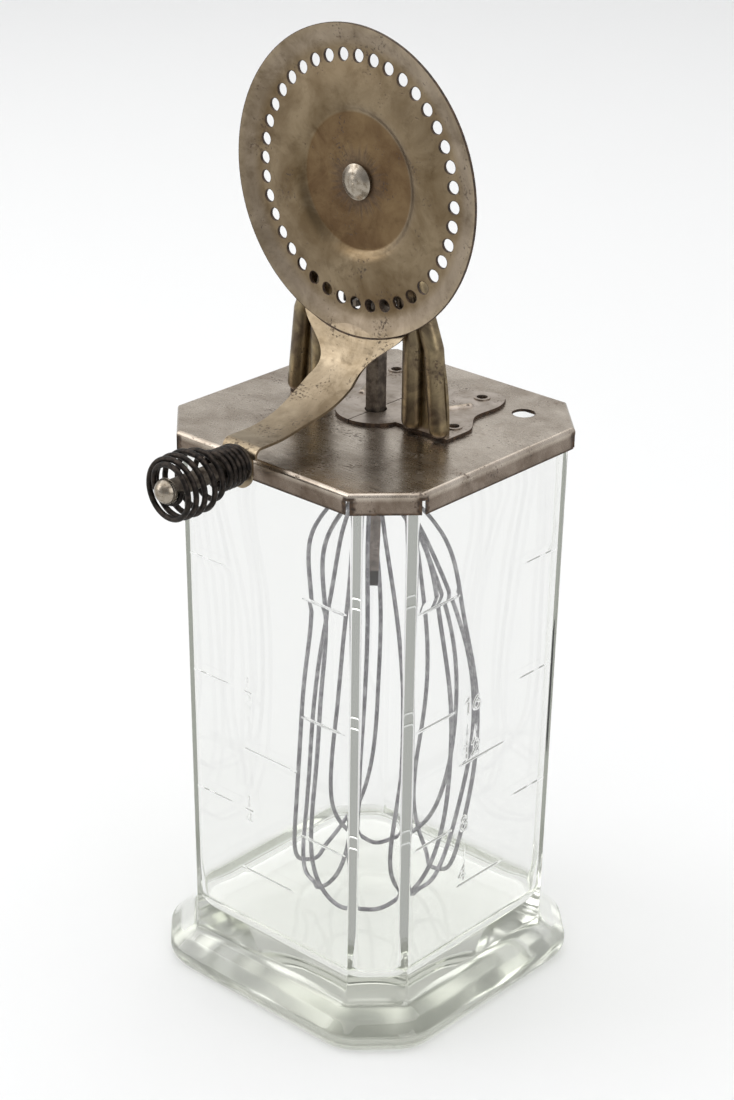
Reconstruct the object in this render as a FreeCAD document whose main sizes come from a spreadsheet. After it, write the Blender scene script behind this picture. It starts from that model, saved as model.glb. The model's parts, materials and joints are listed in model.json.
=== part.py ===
import FreeCAD, Part
import math
import os
import Sketcher
from FreeCAD import Placement, Rotation, Vector

# Hand-cranked mixer jar, millimetres, +Z up.
# Origin: centre of the jar's foot, on the surface it stands on.
# The wheel's axle is parallel to Y and the crank is on the -Y side.

os.makedirs("parts", exist_ok=True)
doc = FreeCAD.newDocument("MixerJar")

# ---------------------------------------------------------------- driving sizes
SIZES = {
    # glass jar
    "jar_height": 172.1, "jar_top_width": 88.4, "jar_waist_width": 85.4, "jar_chamfer": 12.2,
    "jar_wall": 3.7, "jar_floor": 17.0, "jar_inner_round": 3.0, "jar_rim_round": 1.0,
    "foot_width": 101.3, "foot_chamfer": 16.0, "foot_toe": 1.8,
    "foot_lip_height": 3.4, "foot_ledge_height": 11.6,
    "push_up_width": 62.0, "push_up_depth": 3.0,
    # lid
    "lid_width": 92.6, "lid_chamfer": 14.3, "lid_sheet": 0.8, "lid_skirt": 6.1, "lid_seat_gap": 0.2,
    "lid_fold_radius": 1.2, "lid_notch": 1.1,
    "oil_hole_radius": 3.3, "oil_hole_x": 28.8, "oil_hole_y": 30.7,
    # where the upright shaft stands on the lid
    "shaft_x": -2.0, "shaft_y": 2.6,
    # frame legs and head
    "frame_sheet": 1.0, "leg_setback": 3.8, "leg_outer": 29.6, "leg_inner": 13.5, "seam_gap": 0.3,
    "head_radius": 12.0, "joggle_low": 28.0, "joggle_high": 42.0, "arch_height": 50.0,
    # pressed ribs of a leg
    "outer_rib_radius": 2.9, "inner_rib_radius": 3.3, "rib_lift": 0.5, "rib_top_height": 26.0,
    "outer_rib_foot": 26.7, "outer_rib_top": 24.2, "outer_rib_head": 18.0,
    "inner_rib_place": 17.2, "inner_rib_head": 13.6,
    # foot plate of a leg
    "nose_radius": 11.4, "nose_turn": 38.0, "bead_radius": 1.5, "lobe_radius": 5.6,
    # eyelets
    "eyelet_radius": 1.9, "eyelet_wall": 0.3, "eyelet_flange": 0.5,
    "front_eyelet_x": 24.9, "front_eyelet_y": 4.6, "rear_eyelet_x": 16.3, "rear_eyelet_y": 27.2,
    # crank wheel
    "axle_rise": 68.7, "wheel_radius": 42.8, "wheel_sheet": 0.8,
    "hole_circle": 34.15, "hole_count": 40, "hole_radius": 1.8,
    "hub_radius": 19.5, "hub_sink": 0.5, "crest_rise": 1.0, "crest_radius": 26.0, "rim_flare": 1.8,
    # crank arm and its tab
    "crank_radius": 67.7, "arm_reach": 54.8, "arm_level": 62.3, "arm_bend_radius": 2.6, "arm_sweep_power": 1.85,
    "arm_root_width": 36.6, "arm_throat_width": 21.5, "arm_neck_width": 15.6, "arm_end_width": 12.2,
    "tab_width": 9.6, "tab_end": 7.2,
    # wheel stud and its washers
    "stud_radius": 2.5, "stud_head_radius": 5.0, "stud_head_height": 2.2, "rivet_head_height": 1.2,
    "washer_radius": 6.5, "wheel_washer_thickness": 0.5, "rear_washer_thickness": 0.8,
    # pinion
    "pinion_teeth": 10, "pinion_face": 1.8, "tooth_tip_width": 1.1, "tooth_root_width": 2.4, "tooth_reach": 0.5,
    "pinion_web_radius": 6.2, "pinion_hub_radius": 4.6, "pinion_hub_height": 7.0, "mesh_setback": 9.0,
    # shaft
    "shaft_square": 4.1, "shaft_turn": 6.0, "journal_radius": 2.0, "pivot_radius": 1.5,
    # bridge with the shaft's top bearing
    "bridge_sheet": 1.2, "bridge_width": 13.0, "bridge_back": 5.0, "bridge_rise": 50.0,
    "bridge_rivet_spacing": 7.0, "bridge_rivet_radius": 1.1, "bridge_rivet_head_radius": 1.87,
    # bush and collar
    "bush_radius": 4.4, "bush_flange_radius": 7.0, "bush_flange": 1.2, "bush_length": 4.5,
    "collar_radius": 5.0, "collar_height": 3.0,
    # tongue at the shaft's lower end
    "tongue_width": 4.7, "tongue_end_width": 2.6, "tongue_thickness": 1.4, "tongue_depth": 53.5,
    "tongue_turn": 40.0,
    # whisk: ferrule, wire, and the places of the loops
    "ferrule_top": 12.0, "ferrule_length": 10.0, "ferrule_wall": 0.6,
    "wire_radius": 0.65, "wire_circle": 3.2, "whisk_loops": 6, "whisk_turn": -55.0, "loop_span": 90.0,
    # whisk: shape of a loop, and the sideways bow of the whole whisk
    "outer_shoulder": 17.0, "inner_shoulder": 9.0, "shoulder_drop": 11.0,
    "whisk_belly": 25.6, "belly_height": 70.0, "knee_height": 44.0, "whisk_foot": 18.6, "whisk_floor_gap": 3.2,
    "shell_gap": 2.0, "shell_step": 2.0, "whisk_bow": 6.0, "bow_turn": 42.0,
    # handle pin and sleeve
    "pin_radius": 1.5, "pin_dome_radius": 3.6, "pin_tail_radius": 2.8, "sleeve_radius": 2.6,
    "grip_washer_radius": 5.2, "grip_washer_thickness": 0.6,
    # handle coil
    "grip_wire_radius": 0.78, "grip_neck_radius": 5.1, "grip_neck_pitch": 1.65, "grip_neck_turns": 4,
    "grip_ball_radius": 8.4, "grip_ball_turns": 5, "grip_ball_taper": 0.5, "grip_length": 25.4,
    "grip_overhang": 0.3,
    # fits
    "running_gap": 0.05, "snug_gap": 0.02, "free_gap": 0.3,
}
sheet = doc.addObject("Spreadsheet::Sheet", "Sizes")
for row, (alias, value) in enumerate(SIZES.items(), start=1):
    sheet.set("A%d" % row, alias)
    sheet.set("B%d" % row, str(value))
    sheet.setAlias("B%d" % row, alias)
doc.recompute()


def size(alias):
    return float(sheet.get(alias))


# ---------------------------------------------------------------- sizes worked out from the sheet
lid_top = size("jar_height") + size("lid_seat_gap") + size("lid_sheet")
shaft = Vector(size("shaft_x"), size("shaft_y"), 0)
axle_z = lid_top + size("axle_rise")
mesh_z = axle_z - size("hole_circle")
wheel_y = shaft.y - size("mesh_setback")
pin_z = axle_z - size("crank_radius")
tab_y = shaft.y - size("arm_reach")
nodes = []


# ---------------------------------------------------------------- helpers
def keep(label, obj):
    """Name the finished object, and list it for export."""
    obj.Label = label
    nodes.append(obj)
    return obj


def feature(label, shape, at=Vector(0, 0, 0)):
    """A piece whose shape is worked out in code, then put in its place."""
    obj = doc.addObject("Part::Feature", label)
    obj.Shape = shape
    obj.Placement = Placement(at, Rotation()).multiply(shape.Placement)
    return keep(label, obj)


def bind(obj, **cells):
    """Bind properties to the sheet; two underscores stand for a dot in a property's path."""
    for prop, text in cells.items():
        obj.setExpression(prop.replace("__", "."), text)
    return obj


def cells(text):
    """Write an expression on the sheet's names: every @name becomes Sizes.name."""
    return text.replace("@", "Sizes.")


LID_TOP = "(@jar_height + @lid_seat_gap + @lid_sheet)"
AXLE_Z = "(" + LID_TOP + " + @axle_rise)"


def cylinder(name, radius, height, x, y, z, along_y=False):
    """A cylinder bound to the sheet, along +Z, or along -Y."""
    obj = doc.addObject("Part::Cylinder", name)
    if along_y:
        obj.Placement = Placement(Vector(0, 0, 0), Rotation(Vector(1, 0, 0), 90))
    bind(obj, Radius=cells(radius), Height=cells(height), Placement__Base__x=cells(x),
         Placement__Base__y=cells(y), Placement__Base__z=cells(z))
    return obj


def boolean(kind, name, first, *others):
    """Part::Cut, or a Part::MultiFuse of everything given."""
    if kind == "cut":
        obj = doc.addObject("Part::Cut", name)
        obj.Base = first
        obj.Tool = others[0]
    else:
        obj = doc.addObject("Part::MultiFuse", name)
        obj.Shapes = [first] + list(others)
    return obj


def plane_of(body, role):
    for item in body.Origin.OriginFeatures:
        if item.Role == role:
            return item
    raise ValueError(role)


def new_sketch(body, name, role):
    sketch = body.newObject("Sketcher::SketchObject", name)
    sketch.AttachmentSupport = [(plane_of(body, role), "")]
    sketch.MapMode = "FlatFace"
    return sketch


def circle(sketch, radius):
    """A circle about the sketch's origin whose radius is bound to the sheet."""
    index = sketch.addGeometry(Part.Circle(Vector(0, 0, 0), Vector(0, 0, 1), 1.0), False)
    sketch.addConstraint(Sketcher.Constraint("Coincident", index, 3, -1, 1))
    number = sketch.addConstraint(Sketcher.Constraint("Radius", index, 1.0))
    sketch.setExpression("Constraints[%d]" % number, cells(radius))
    return index


def ring_body(label, outer, inner, height):
    """A flat ring padded from a sketch of two circles."""
    body = doc.addObject("PartDesign::Body", label)
    sketch = new_sketch(body, label + "_rings", "XY_Plane")
    circle(sketch, outer)
    circle(sketch, inner)
    pad = body.newObject("PartDesign::Pad", label + "_pad")
    pad.Profile = sketch
    pad.setExpression("Length", cells(height))
    return keep(label, body)


def octagon(width, chamfer, z):
    """Square of the given width with its corners cut back by the chamfer, as a closed wire."""
    a = width / 2.0
    b = a - chamfer
    corners = [(b, -a), (a, -b), (a, b), (b, a), (-b, a), (-a, b), (-a, -b), (-b, -a)]
    return Part.makePolygon([Vector(x, y, z) for x, y in corners + corners[:1]])


def upright_edges(shape, least):
    """Edges that climb more than `least`: the standing corners of a body."""
    picked = []
    for edge in shape.Edges:
        box = edge.BoundBox
        if box.ZLength > least:
            picked.append(edge)
    return picked


def sheet_band(front, thickness, half_width):
    """Sheet metal bent along X: its front line in the YZ plane, thickened towards +Y."""
    back = [Vector(0, y + thickness, z) for y, z in reversed(front)]
    outline = [Vector(0, y, z) for y, z in front] + back
    face = Part.Face(Part.makePolygon(outline + outline[:1]))
    face.translate(Vector(-half_width, 0, 0))
    return face.extrude(Vector(2 * half_width, 0, 0))


def spline(points, start=None, end=None):
    curve = Part.BSplineCurve()
    if start is None:
        curve.interpolate(points)
    else:
        curve.interpolate(points, InitialTangent=start, FinalTangent=end)
    return curve.toShape()


def swept_wire(path, radius, facing=None):
    """Round wire swept along a path: a coil, or a bent loop whose flat side faces the given way."""
    edge = path.OrderedEdges[0]
    first = edge.FirstParameter
    start = edge.valueAt(first)
    ring = Part.Wire(Part.makeCircle(radius, start, edge.tangentAt(first)))
    if facing is None:
        return path.makePipeShell([ring], True, True)
    sweep = Part.BRepOffsetAPI.MakePipeShell(path)
    sweep.setBiNormalMode(facing)
    sweep.add(ring)
    sweep.build()
    sweep.makeSolid()
    return sweep.shape()


# ---------------------------------------------------------------- glass jar
def make_jar():
    width = size("jar_top_width")
    waist = size("jar_waist_width")
    chamfer = size("jar_chamfer")
    foot = size("foot_width")
    foot_chamfer = size("foot_chamfer")
    lip = size("foot_lip_height")
    ledge = size("foot_ledge_height")
    toe = size("foot_toe")
    height = size("jar_height")
    outside = [
        octagon(foot - 2 * toe, foot_chamfer - toe * 0.6, 0),
        octagon(foot, foot_chamfer, lip),
        octagon(waist, chamfer, ledge),
        octagon(width, chamfer, height),
    ]
    glass = Part.makeLoft(outside, True, True)
    wall = size("jar_wall")
    floor = size("jar_floor")
    share = (floor - ledge) / (height - ledge)
    floor_width = waist + (width - waist) * share - 2 * wall
    slim = chamfer - wall * (2 - math.sqrt(2))
    inside = [octagon(floor_width, slim, floor), octagon(width - 2 * wall, slim, height)]
    cavity = Part.makeLoft(inside, True, True)
    cavity = cavity.makeFillet(size("jar_inner_round"), upright_edges(cavity, height / 2))
    floor_edges = [edge for edge in cavity.Edges if edge.BoundBox.ZMax < floor + 0.01]
    cavity = cavity.makeFillet(size("jar_inner_round"), floor_edges)
    glass = glass.cut(cavity)
    hollow = size("push_up_width") / 2
    depth = size("push_up_depth")
    glass = glass.cut(Part.makeCone(hollow, hollow - depth, depth))
    rim = [edge for edge in glass.Edges
           if edge.BoundBox.ZMin > height - 0.01 and edge.Length > chamfer / 2]
    glass = glass.makeFillet(size("jar_rim_round"), rim)
    return feature("glass_jar", glass)


# ---------------------------------------------------------------- lid
def make_lid():
    width = size("lid_width")
    chamfer = size("lid_chamfer")
    metal = size("lid_sheet")
    skirt = size("lid_skirt")
    bottom = lid_top - skirt
    outer = Part.Face(octagon(width, chamfer, bottom)).extrude(Vector(0, 0, skirt))
    top_edges = [edge for edge in outer.Edges if edge.BoundBox.ZMin > lid_top - 0.01]
    outer = outer.makeFillet(size("lid_fold_radius"), top_edges)
    slim = chamfer - metal * (2 - math.sqrt(2))
    inner = Part.Face(octagon(width - 2 * metal, slim, bottom)).extrude(Vector(0, 0, skirt - metal))
    cap = outer.cut(inner)
    # a narrow slot at each corner of the octagon parts the folded flaps
    notch = size("lid_notch")
    open_height = skirt - size("lid_fold_radius") - metal
    for corner in octagon(width, chamfer, bottom).Vertexes:
        point = corner.Point
        turn = math.degrees(math.atan2(point.y, point.x))
        slot = Part.makeBox(4 * metal, notch, open_height, Vector(-2 * metal, -notch / 2, 0))
        slot.rotate(Vector(0, 0, 0), Vector(0, 0, 1), turn)
        slot.translate(point)
        cap = cap.cut(slot)
    through = 2 * metal
    holes = [(size("oil_hole_x"), size("oil_hole_y"), size("oil_hole_radius")),
             (shaft.x, shaft.y, size("bush_radius") + size("snug_gap"))]
    for x, y in eyelet_places():
        holes.append((x, y, size("eyelet_radius") + size("snug_gap")))
    for x, y, radius in holes:
        cap = cap.cut(Part.makeCylinder(radius, through, Vector(x, y, lid_top - through + 0.1)))
    return feature("lid", cap)


def eyelet_places():
    """Four places on the lid, mirrored about the shaft."""
    places = []
    for side in (1, -1):
        for name in ("front", "rear"):
            x = shaft.x + side * size(name + "_eyelet_x")
            places.append((x, shaft.y + size(name + "_eyelet_y")))
    return places


def make_eyelets():
    """Hollow rivets: a tube through plate and lid with a rolled flange at each end."""
    radius = size("eyelet_radius")
    wall = size("eyelet_wall")
    flange = size("eyelet_flange")
    metal = size("frame_sheet") + size("lid_sheet")
    gap = size("snug_gap")
    base = lid_top - size("lid_sheet")
    solids = []
    for x, y in eyelet_places():
        tube = Part.makeCylinder(radius, metal + 2 * (wall + gap), Vector(x, y, base - wall - gap))
        for z in (base - wall - gap, base + metal + gap):
            tube = tube.fuse(Part.makeCylinder(radius + flange, wall, Vector(x, y, z)))
        bore = Part.makeCylinder(radius - wall, metal + 4 * wall, Vector(x, y, base - 2 * wall))
        solids.append(tube.cut(bore).removeSplitter())
    return feature("foot_eyelets", Part.makeCompound(solids))


# ---------------------------------------------------------------- frame halves
def leg_outline(y_span):
    """Front view of the right half: a leg that narrows upwards into a round head."""
    outer = size("leg_outer")
    inner = size("leg_inner")
    rise = size("axle_rise")
    head = size("head_radius")
    arch = size("arch_height")
    low = size("joggle_low")
    high = size("joggle_high")
    # outer edge: an upright start, then an arch into the side of the head
    side = spline([Vector(outer, 0, 0), Vector(outer * 0.96, 0, low * 0.6),
                   Vector(outer * 0.69, 0, high), Vector(head, 0, rise)], Vector(0, 0, 1), Vector(0, 0, 1))
    crown = Part.Arc(Vector(head, 0, rise), Vector(0, 0, rise + head), Vector(-head, 0, rise)).toShape()
    inside = spline([Vector(-head, 0, rise), Vector(-head * 0.45, 0, arch + head / 3),
                     Vector(inner * 0.78, 0, high), Vector(inner, 0, low)], Vector(0, 0, -1), Vector(0, 0, -1))
    leg = Part.LineSegment(Vector(inner, 0, low), Vector(inner, 0, 0)).toShape()
    ground = Part.LineSegment(Vector(inner, 0, 0), Vector(outer, 0, 0)).toShape()
    face = Part.Face(Part.Wire([side, crown, inside, leg, ground]))
    face.translate(Vector(0, -y_span, 0))
    return face.extrude(Vector(0, 2 * y_span, 0))


def foot_plate():
    """Plan view of the right foot plate: round nose at the shaft, two lobes, straight seam."""
    metal = size("frame_sheet")
    seam = size("seam_gap") / 2
    nose = size("nose_radius")
    back = size("leg_setback")
    outer = size("leg_outer")
    front_x = size("front_eyelet_x")
    front_y = size("front_eyelet_y")
    rear_x = size("rear_eyelet_x")
    rear_y = size("rear_eyelet_y")
    lobe = size("lobe_radius")
    turn = math.radians(size("nose_turn"))
    start = Vector(seam, -math.sqrt(nose ** 2 - seam ** 2), 0)
    end = Vector(math.sqrt(nose ** 2 - back ** 2), -back, 0)
    middle = Vector(nose * math.sin(turn), -nose * math.cos(turn), 0)
    corner = Vector(outer, -back, 0)
    run = [Vector(outer, front_y - lobe, 0), Vector(front_x + lobe * 0.72, front_y + lobe * 0.5, 0),
           Vector(front_x - 0.11 * lobe, (front_y + rear_y) / 2 - 0.27 * lobe, 0),
           Vector(rear_x + lobe * 1.35, rear_y - 0.18 * lobe, 0),
           Vector(rear_x + lobe * 0.9, rear_y + lobe * 0.8, 0), Vector(rear_x, rear_y + lobe, 0)]
    tail = Vector(seam, rear_y - lobe * 0.6, 0)
    edges = [Part.Arc(start, middle, end).toShape(), Part.LineSegment(end, corner).toShape(),
             Part.LineSegment(corner, run[0]).toShape(), spline(run, Vector(0, 1, 0), Vector(-1, -0.1, 0)),
             Part.LineSegment(run[-1], tail).toShape(), Part.LineSegment(tail, start).toShape()]
    plate = Part.Face(Part.Wire(edges)).extrude(Vector(0, 0, metal))
    # a low pressed bead stiffens the plate between the shaft and the rear lobe
    near = Vector(nose, 0.6 * nose, metal * 0.3)
    far = Vector(rear_x + 0.25 * lobe, rear_y - 1.3 * lobe, metal * 0.3)
    under = Part.makeBox(4 * outer, 4 * outer, nose, Vector(-2 * outer, -2 * outer, -nose))
    plate = plate.fuse(rib(size("bead_radius"), near, far).cut(under))
    # the square shaft turns freely in the half-round notch
    notch = size("shaft_square") / math.sqrt(2) + size("free_gap")
    plate = plate.cut(Part.makeCylinder(notch, 3 * metal, Vector(0, 0, -metal)))
    hole = size("eyelet_radius") + size("snug_gap")
    for x, y in ((front_x, front_y), (rear_x, rear_y)):
        plate = plate.cut(Part.makeCylinder(hole, 3 * metal, Vector(x, y, -metal)))
    return plate


def rib(radius, *points):
    """A round bar through the points, with ball joints and ends: what stands proud of the sheet is a rib."""
    solid = Part.makeSphere(radius, points[0])
    for start, end in zip(points, points[1:]):
        bar = Part.makeCylinder(radius, (end - start).Length)
        bar.Placement = Placement(start, Rotation(Vector(0, 0, 1), end - start))
        solid = solid.fuse(bar).fuse(Part.makeSphere(radius, end))
    return solid


def make_frame_half(label, side, head_front):
    """side is +1 for the right half and -1 for the left; head_front is its head's front face."""
    metal = size("frame_sheet")
    setback = size("leg_setback")
    rise = size("axle_rise") + size("head_radius")
    band = sheet_band([(-setback, 0), (-setback, size("joggle_low")), (-head_front, size("joggle_high")),
                       (-head_front, rise + 1)], metal, 2 * size("leg_outer"))
    leg = band.common(leg_outline(2 * size("mesh_setback")))
    # each rib stands on the foot's bend, leans in with the leg, and runs out into the joggle
    ribs = ((size("inner_rib_place"), size("inner_rib_place"), size("inner_rib_head"), size("inner_rib_radius")),
            (size("outer_rib_foot"), size("outer_rib_top"), size("outer_rib_head"), size("outer_rib_radius")))
    behind = Part.makeBox(2 * rise, rise, 2 * rise, Vector(-rise, metal - setback, -rise / 2))
    for foot_x, top_x, head_x, proud in ribs:
        line = [Vector(foot_x, -setback, proud + size("rib_lift")),
                Vector(top_x, -setback, size("rib_top_height")),
                Vector(head_x, -setback, size("joggle_high"))]
        leg = leg.fuse(rib(proud, *line).cut(behind)).cut(rib(proud - metal, *line))
    half = leg.fuse(foot_plate())
    half = half.cut(hole_through(size("stud_radius"), 0, size("axle_rise")))
    for x in (-1, 1):
        place = x * size("bridge_rivet_spacing") / 2
        half = half.cut(hole_through(size("bridge_rivet_radius"), place, bridge_rivet_rise()))
    half = half.removeSplitter()
    if side < 0:
        half = half.mirror(Vector(0, 0, 0), Vector(1, 0, 0))
    return feature(label, half, Vector(shaft.x, shaft.y, lid_top))


def hole_through(radius, x, z):
    """A long pin along Y, a snug gap wider than the shank that it makes room for."""
    reach = size("leg_outer")
    return Part.makeCylinder(radius + size("snug_gap"), 2 * reach, Vector(x, reach, z), Vector(0, -1, 0))


def bridge_rivet_rise():
    """Height of the bridge's rivets above the lid, between the arch and the stud's washer."""
    return size("axle_rise") - size("washer_radius") - 2.5 * size("bridge_rivet_radius")


def make_bridge():
    """Angle strap: a flange riveted behind both heads and a shelf over the shaft with its top bearing."""
    metal = size("bridge_sheet")
    half = size("bridge_width") / 2
    back = -head_back()
    rise = size("bridge_rise")
    top = bridge_rivet_rise() + 2.2 * size("bridge_rivet_radius")
    flange = Part.makeBox(2 * half, metal, top - rise, Vector(-half, back, rise))
    shelf = Part.makeBox(2 * half, size("bridge_back") - back, metal, Vector(-half, back, rise))
    bridge = flange.fuse(shelf).removeSplitter()
    outside = [edge for edge in bridge.Edges if edge.Length > 2 * half - 0.01
               and abs(edge.CenterOfMass.y - back) < 0.01 and abs(edge.CenterOfMass.z - rise) < 0.01]
    bridge = bridge.makeFillet(metal, outside)
    pivot = size("pivot_radius") + size("running_gap")
    bridge = bridge.cut(Part.makeCylinder(pivot, 4 * metal, Vector(0, 0, rise - metal)))
    for x in (-1, 1):
        place = x * size("bridge_rivet_spacing") / 2
        bridge = bridge.cut(hole_through(size("bridge_rivet_radius"), place, bridge_rivet_rise()))
    return feature("bearing_bridge", bridge, Vector(shaft.x, shaft.y, lid_top))


def head_front():
    """Distance from the shaft's axis forward to the front face of the frame's head."""
    return (size("mesh_setback") - size("hub_sink") - size("wheel_sheet") - size("wheel_washer_thickness")
            - 2 * size("running_gap"))


def head_back():
    """Distance from the shaft's axis forward to whatever is bolted behind the two heads."""
    return head_front() - 2 * size("frame_sheet") - 2 * size("snug_gap")


def make_bridge_rivets():
    radius = size("bridge_rivet_radius")
    wide = size("bridge_rivet_head_radius")
    height = 0.5 * size("rivet_head_height")
    front = size("wheel_washer_thickness")
    grip = head_front() - head_back() + size("bridge_sheet") + size("snug_gap")
    solids = []
    for x in (-1, 1):
        # flat head in front, hidden behind the wheel, and a domed one behind
        shank = Part.makeCylinder(radius, grip + height)
        head = Part.makeCylinder(wide, 0.8 * front, Vector(0, 0, -0.8 * front))
        tail = Part.makeCylinder(wide, height, Vector(0, 0, grip))
        edge = [item for item in tail.Edges if item.BoundBox.ZMin > grip + height - 0.01]
        tail = tail.makeFillet(0.7 * height, edge)
        rivet = shank.fuse(head).fuse(tail).removeSplitter()
        rivet.rotate(Vector(0, 0, 0), Vector(1, 0, 0), -90)
        rivet.translate(Vector(x * size("bridge_rivet_spacing") / 2, -head_front(), bridge_rivet_rise()))
        solids.append(rivet)
    return feature("bridge_rivets", Part.makeCompound(solids), Vector(shaft.x, shaft.y, lid_top))


# ---------------------------------------------------------------- crank wheel
def closed_face(edges):
    return Part.Face(Part.Wire(Part.sortEdges(edges)[0]))


def make_disc():
    """Pressed wheel: sunk hub, rounded crest, plane of the holes at y = 0, rim flared forwards."""
    metal = size("wheel_sheet")
    rim = size("wheel_radius")
    sink = size("hub_sink")
    crest = size("crest_rise")
    bore = size("stud_radius") + size("running_gap")
    corner = size("hub_radius") - 1.5 * metal
    flat = Part.LineSegment(Vector(bore, sink, 0), Vector(corner, sink, 0)).toShape()
    pressed = spline([Vector(corner, sink, 0), Vector(size("hub_radius") + metal, -0.35 * crest, 0),
                      Vector(size("crest_radius"), -crest, 0), Vector(size("hole_circle"), 0, 0),
                      Vector(rim, -size("rim_flare"), 0)], Vector(1, 0, 0), Vector(1, -0.3, 0))
    back = Vector(0, metal, 0)
    start = Vector(bore, sink, 0)
    end = Vector(rim, -size("rim_flare"), 0)
    edges = [flat, pressed, Part.LineSegment(end, end + back).toShape(), pressed.translated(back),
             flat.translated(back), Part.LineSegment(start + back, start).toShape()]
    return closed_face(edges).revolve(Vector(0, 0, 0), Vector(0, 1, 0), 360)


def both_sides(points, closing):
    """Symmetric outline in the XZ plane: the right side's points, joined to their mirror image."""
    right = spline(points)
    left = right.mirror(Vector(0, 0, 0), Vector(1, 0, 0))
    top = points[0]
    ends = [Part.LineSegment(top, Vector(-top.x, 0, top.z)).toShape()]
    last = points[-1]
    low = [last] + closing
    for first, second in zip(low, low[1:]):
        edge = Part.LineSegment(first, second).toShape()
        ends.append(edge)
        ends.append(edge.mirror(Vector(0, 0, 0), Vector(1, 0, 0)))
    return [right, left] + ends, low[-1]


def offset_points(points, inset):
    """Points of a line in the YZ plane, moved square to it towards the disc's back."""
    if inset == 0:
        return points
    curve = spline(points, Vector(0, -0.25, -1), Vector(0, -1, 0)).Curve
    moved = []
    for point in points:
        along = curve.tangent(curve.parameter(point))[0]
        moved.append(point + Vector(0, -along.z, along.y).normalize() * inset)
    return moved


def arm_line(sweep, inset, tab_front, bottom):
    """One face of the strip from the side: the sweep, the level stretch, the bend and the tab."""
    run = spline(offset_points(sweep, inset), Vector(0, -0.25, -1), Vector(0, -1, 0))
    bend = size("arm_bend_radius")
    radius = bend - inset
    centre = Vector(0, tab_front + bend, -size("arm_level") - bend)
    above = centre + Vector(0, 0, radius)
    beside = centre + Vector(0, -radius, 0)
    corner = centre + Vector(0, -radius, radius) * math.sqrt(0.5)
    foot = Vector(0, beside.y, bottom)
    edges = [run, Part.LineSegment(run.valueAt(run.LastParameter), above).toShape(),
             Part.Arc(above, corner, beside).toShape(), Part.LineSegment(beside, foot).toShape()]
    return edges, run.valueAt(run.FirstParameter), foot


def make_arm():
    """Crank arm: a strip that sweeps forwards from the rim and turns down into the handle's tab."""
    metal = size("wheel_sheet")
    rim = size("wheel_radius")
    level = size("arm_level")
    bend = size("arm_bend_radius")
    tab_front = -(size("arm_reach") - size("mesh_setback"))
    bottom = -size("crank_radius") - size("tab_end")
    root = Vector(0, 0.35 * metal, -(size("hole_circle") + size("hole_radius") + 0.6 * metal))
    # the sweep is a quarter of a superellipse between the rim and the level stretch
    power = size("arm_sweep_power")
    depth = level - rim
    reach = -tab_front - 8 * metal - size("rim_flare")
    sweep = [root]
    for share in (0.0, 0.08, 0.27, 0.5, 0.76, 1.0):
        fall = (1 - (1 - share) ** power) ** (1 / power)
        sweep.append(Vector(0, -size("rim_flare") - size("free_gap") - share * reach, -rim - fall * depth))
    front, top_front, foot_front = arm_line(sweep, 0.0, tab_front, bottom)
    back, top_back, foot_back = arm_line(sweep, metal, tab_front, bottom)
    ends = [Part.LineSegment(top_front, top_back).toShape(), Part.LineSegment(foot_front, foot_back).toShape()]
    side = closed_face(front + back + ends)
    half = size("arm_root_width")
    side.translate(Vector(-half, 0, 0))
    band = side.extrude(Vector(2 * half, 0, 0))
    # seen from the front: wide root, throat, neck, and a narrower tab with a round end
    neck = size("arm_neck_width") / 2
    tab = size("tab_width") / 2
    shoulder = -level - bend - 0.6 * metal
    points = [Vector(0.82 * size("arm_root_width") / 2, 0, root.z + metal),
              Vector(size("arm_root_width") / 2, 0,
                     0.6 * metal - math.sqrt(rim ** 2 - (size("arm_root_width") / 2) ** 2)),
              Vector(size("arm_throat_width") / 2, 0, -rim - 0.19 * depth),
              Vector(neck, 0, -rim - 0.58 * depth)]
    edges, last = both_sides(points, [Vector(neck, 0, shoulder), Vector(tab, 0, shoulder),
                                      Vector(tab, 0, bottom + tab)])
    edges.append(Part.Arc(last, Vector(0, 0, bottom), Vector(-last.x, 0, last.z)).toShape())
    outline = closed_face(edges)
    outline.translate(Vector(0, -size("arm_reach"), 0))
    band = band.common(outline.extrude(Vector(0, 2 * size("arm_reach"), 0)))
    # seen from above: the strip narrows towards the tab
    end = size("arm_end_width") / 2
    narrowing = neck - end
    plan = [Vector(neck, 0, -0.32 * reach), Vector(neck - 0.24 * narrowing, 0, -0.47 * reach),
            Vector(end + 0.09 * narrowing, 0, -0.68 * reach), Vector(end, 0, -reach),
            Vector(end, 0, tab_front - metal)]
    edges, last = both_sides(plan, [])
    edges.append(Part.LineSegment(last, Vector(-last.x, 0, last.z)).toShape())
    strip = closed_face(edges)
    strip.rotate(Vector(0, 0, 0), Vector(1, 0, 0), -90)
    tall = 2 * size("crank_radius")
    strip = strip.extrude(Vector(0, 0, -tall))
    waste = Part.makeBox(2 * half, reach, tall, Vector(-half, plan[-1].z, -tall))
    waste.translate(Vector(0, plan[0].z - reach - plan[-1].z, 0))
    band = band.cut(waste.cut(strip))
    pin = Part.makeCylinder(size("pin_radius") + size("snug_gap"), 6 * metal,
                            Vector(0, tab_front + 3 * metal, -size("crank_radius")), Vector(0, -1, 0))
    return band.cut(pin)


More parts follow.
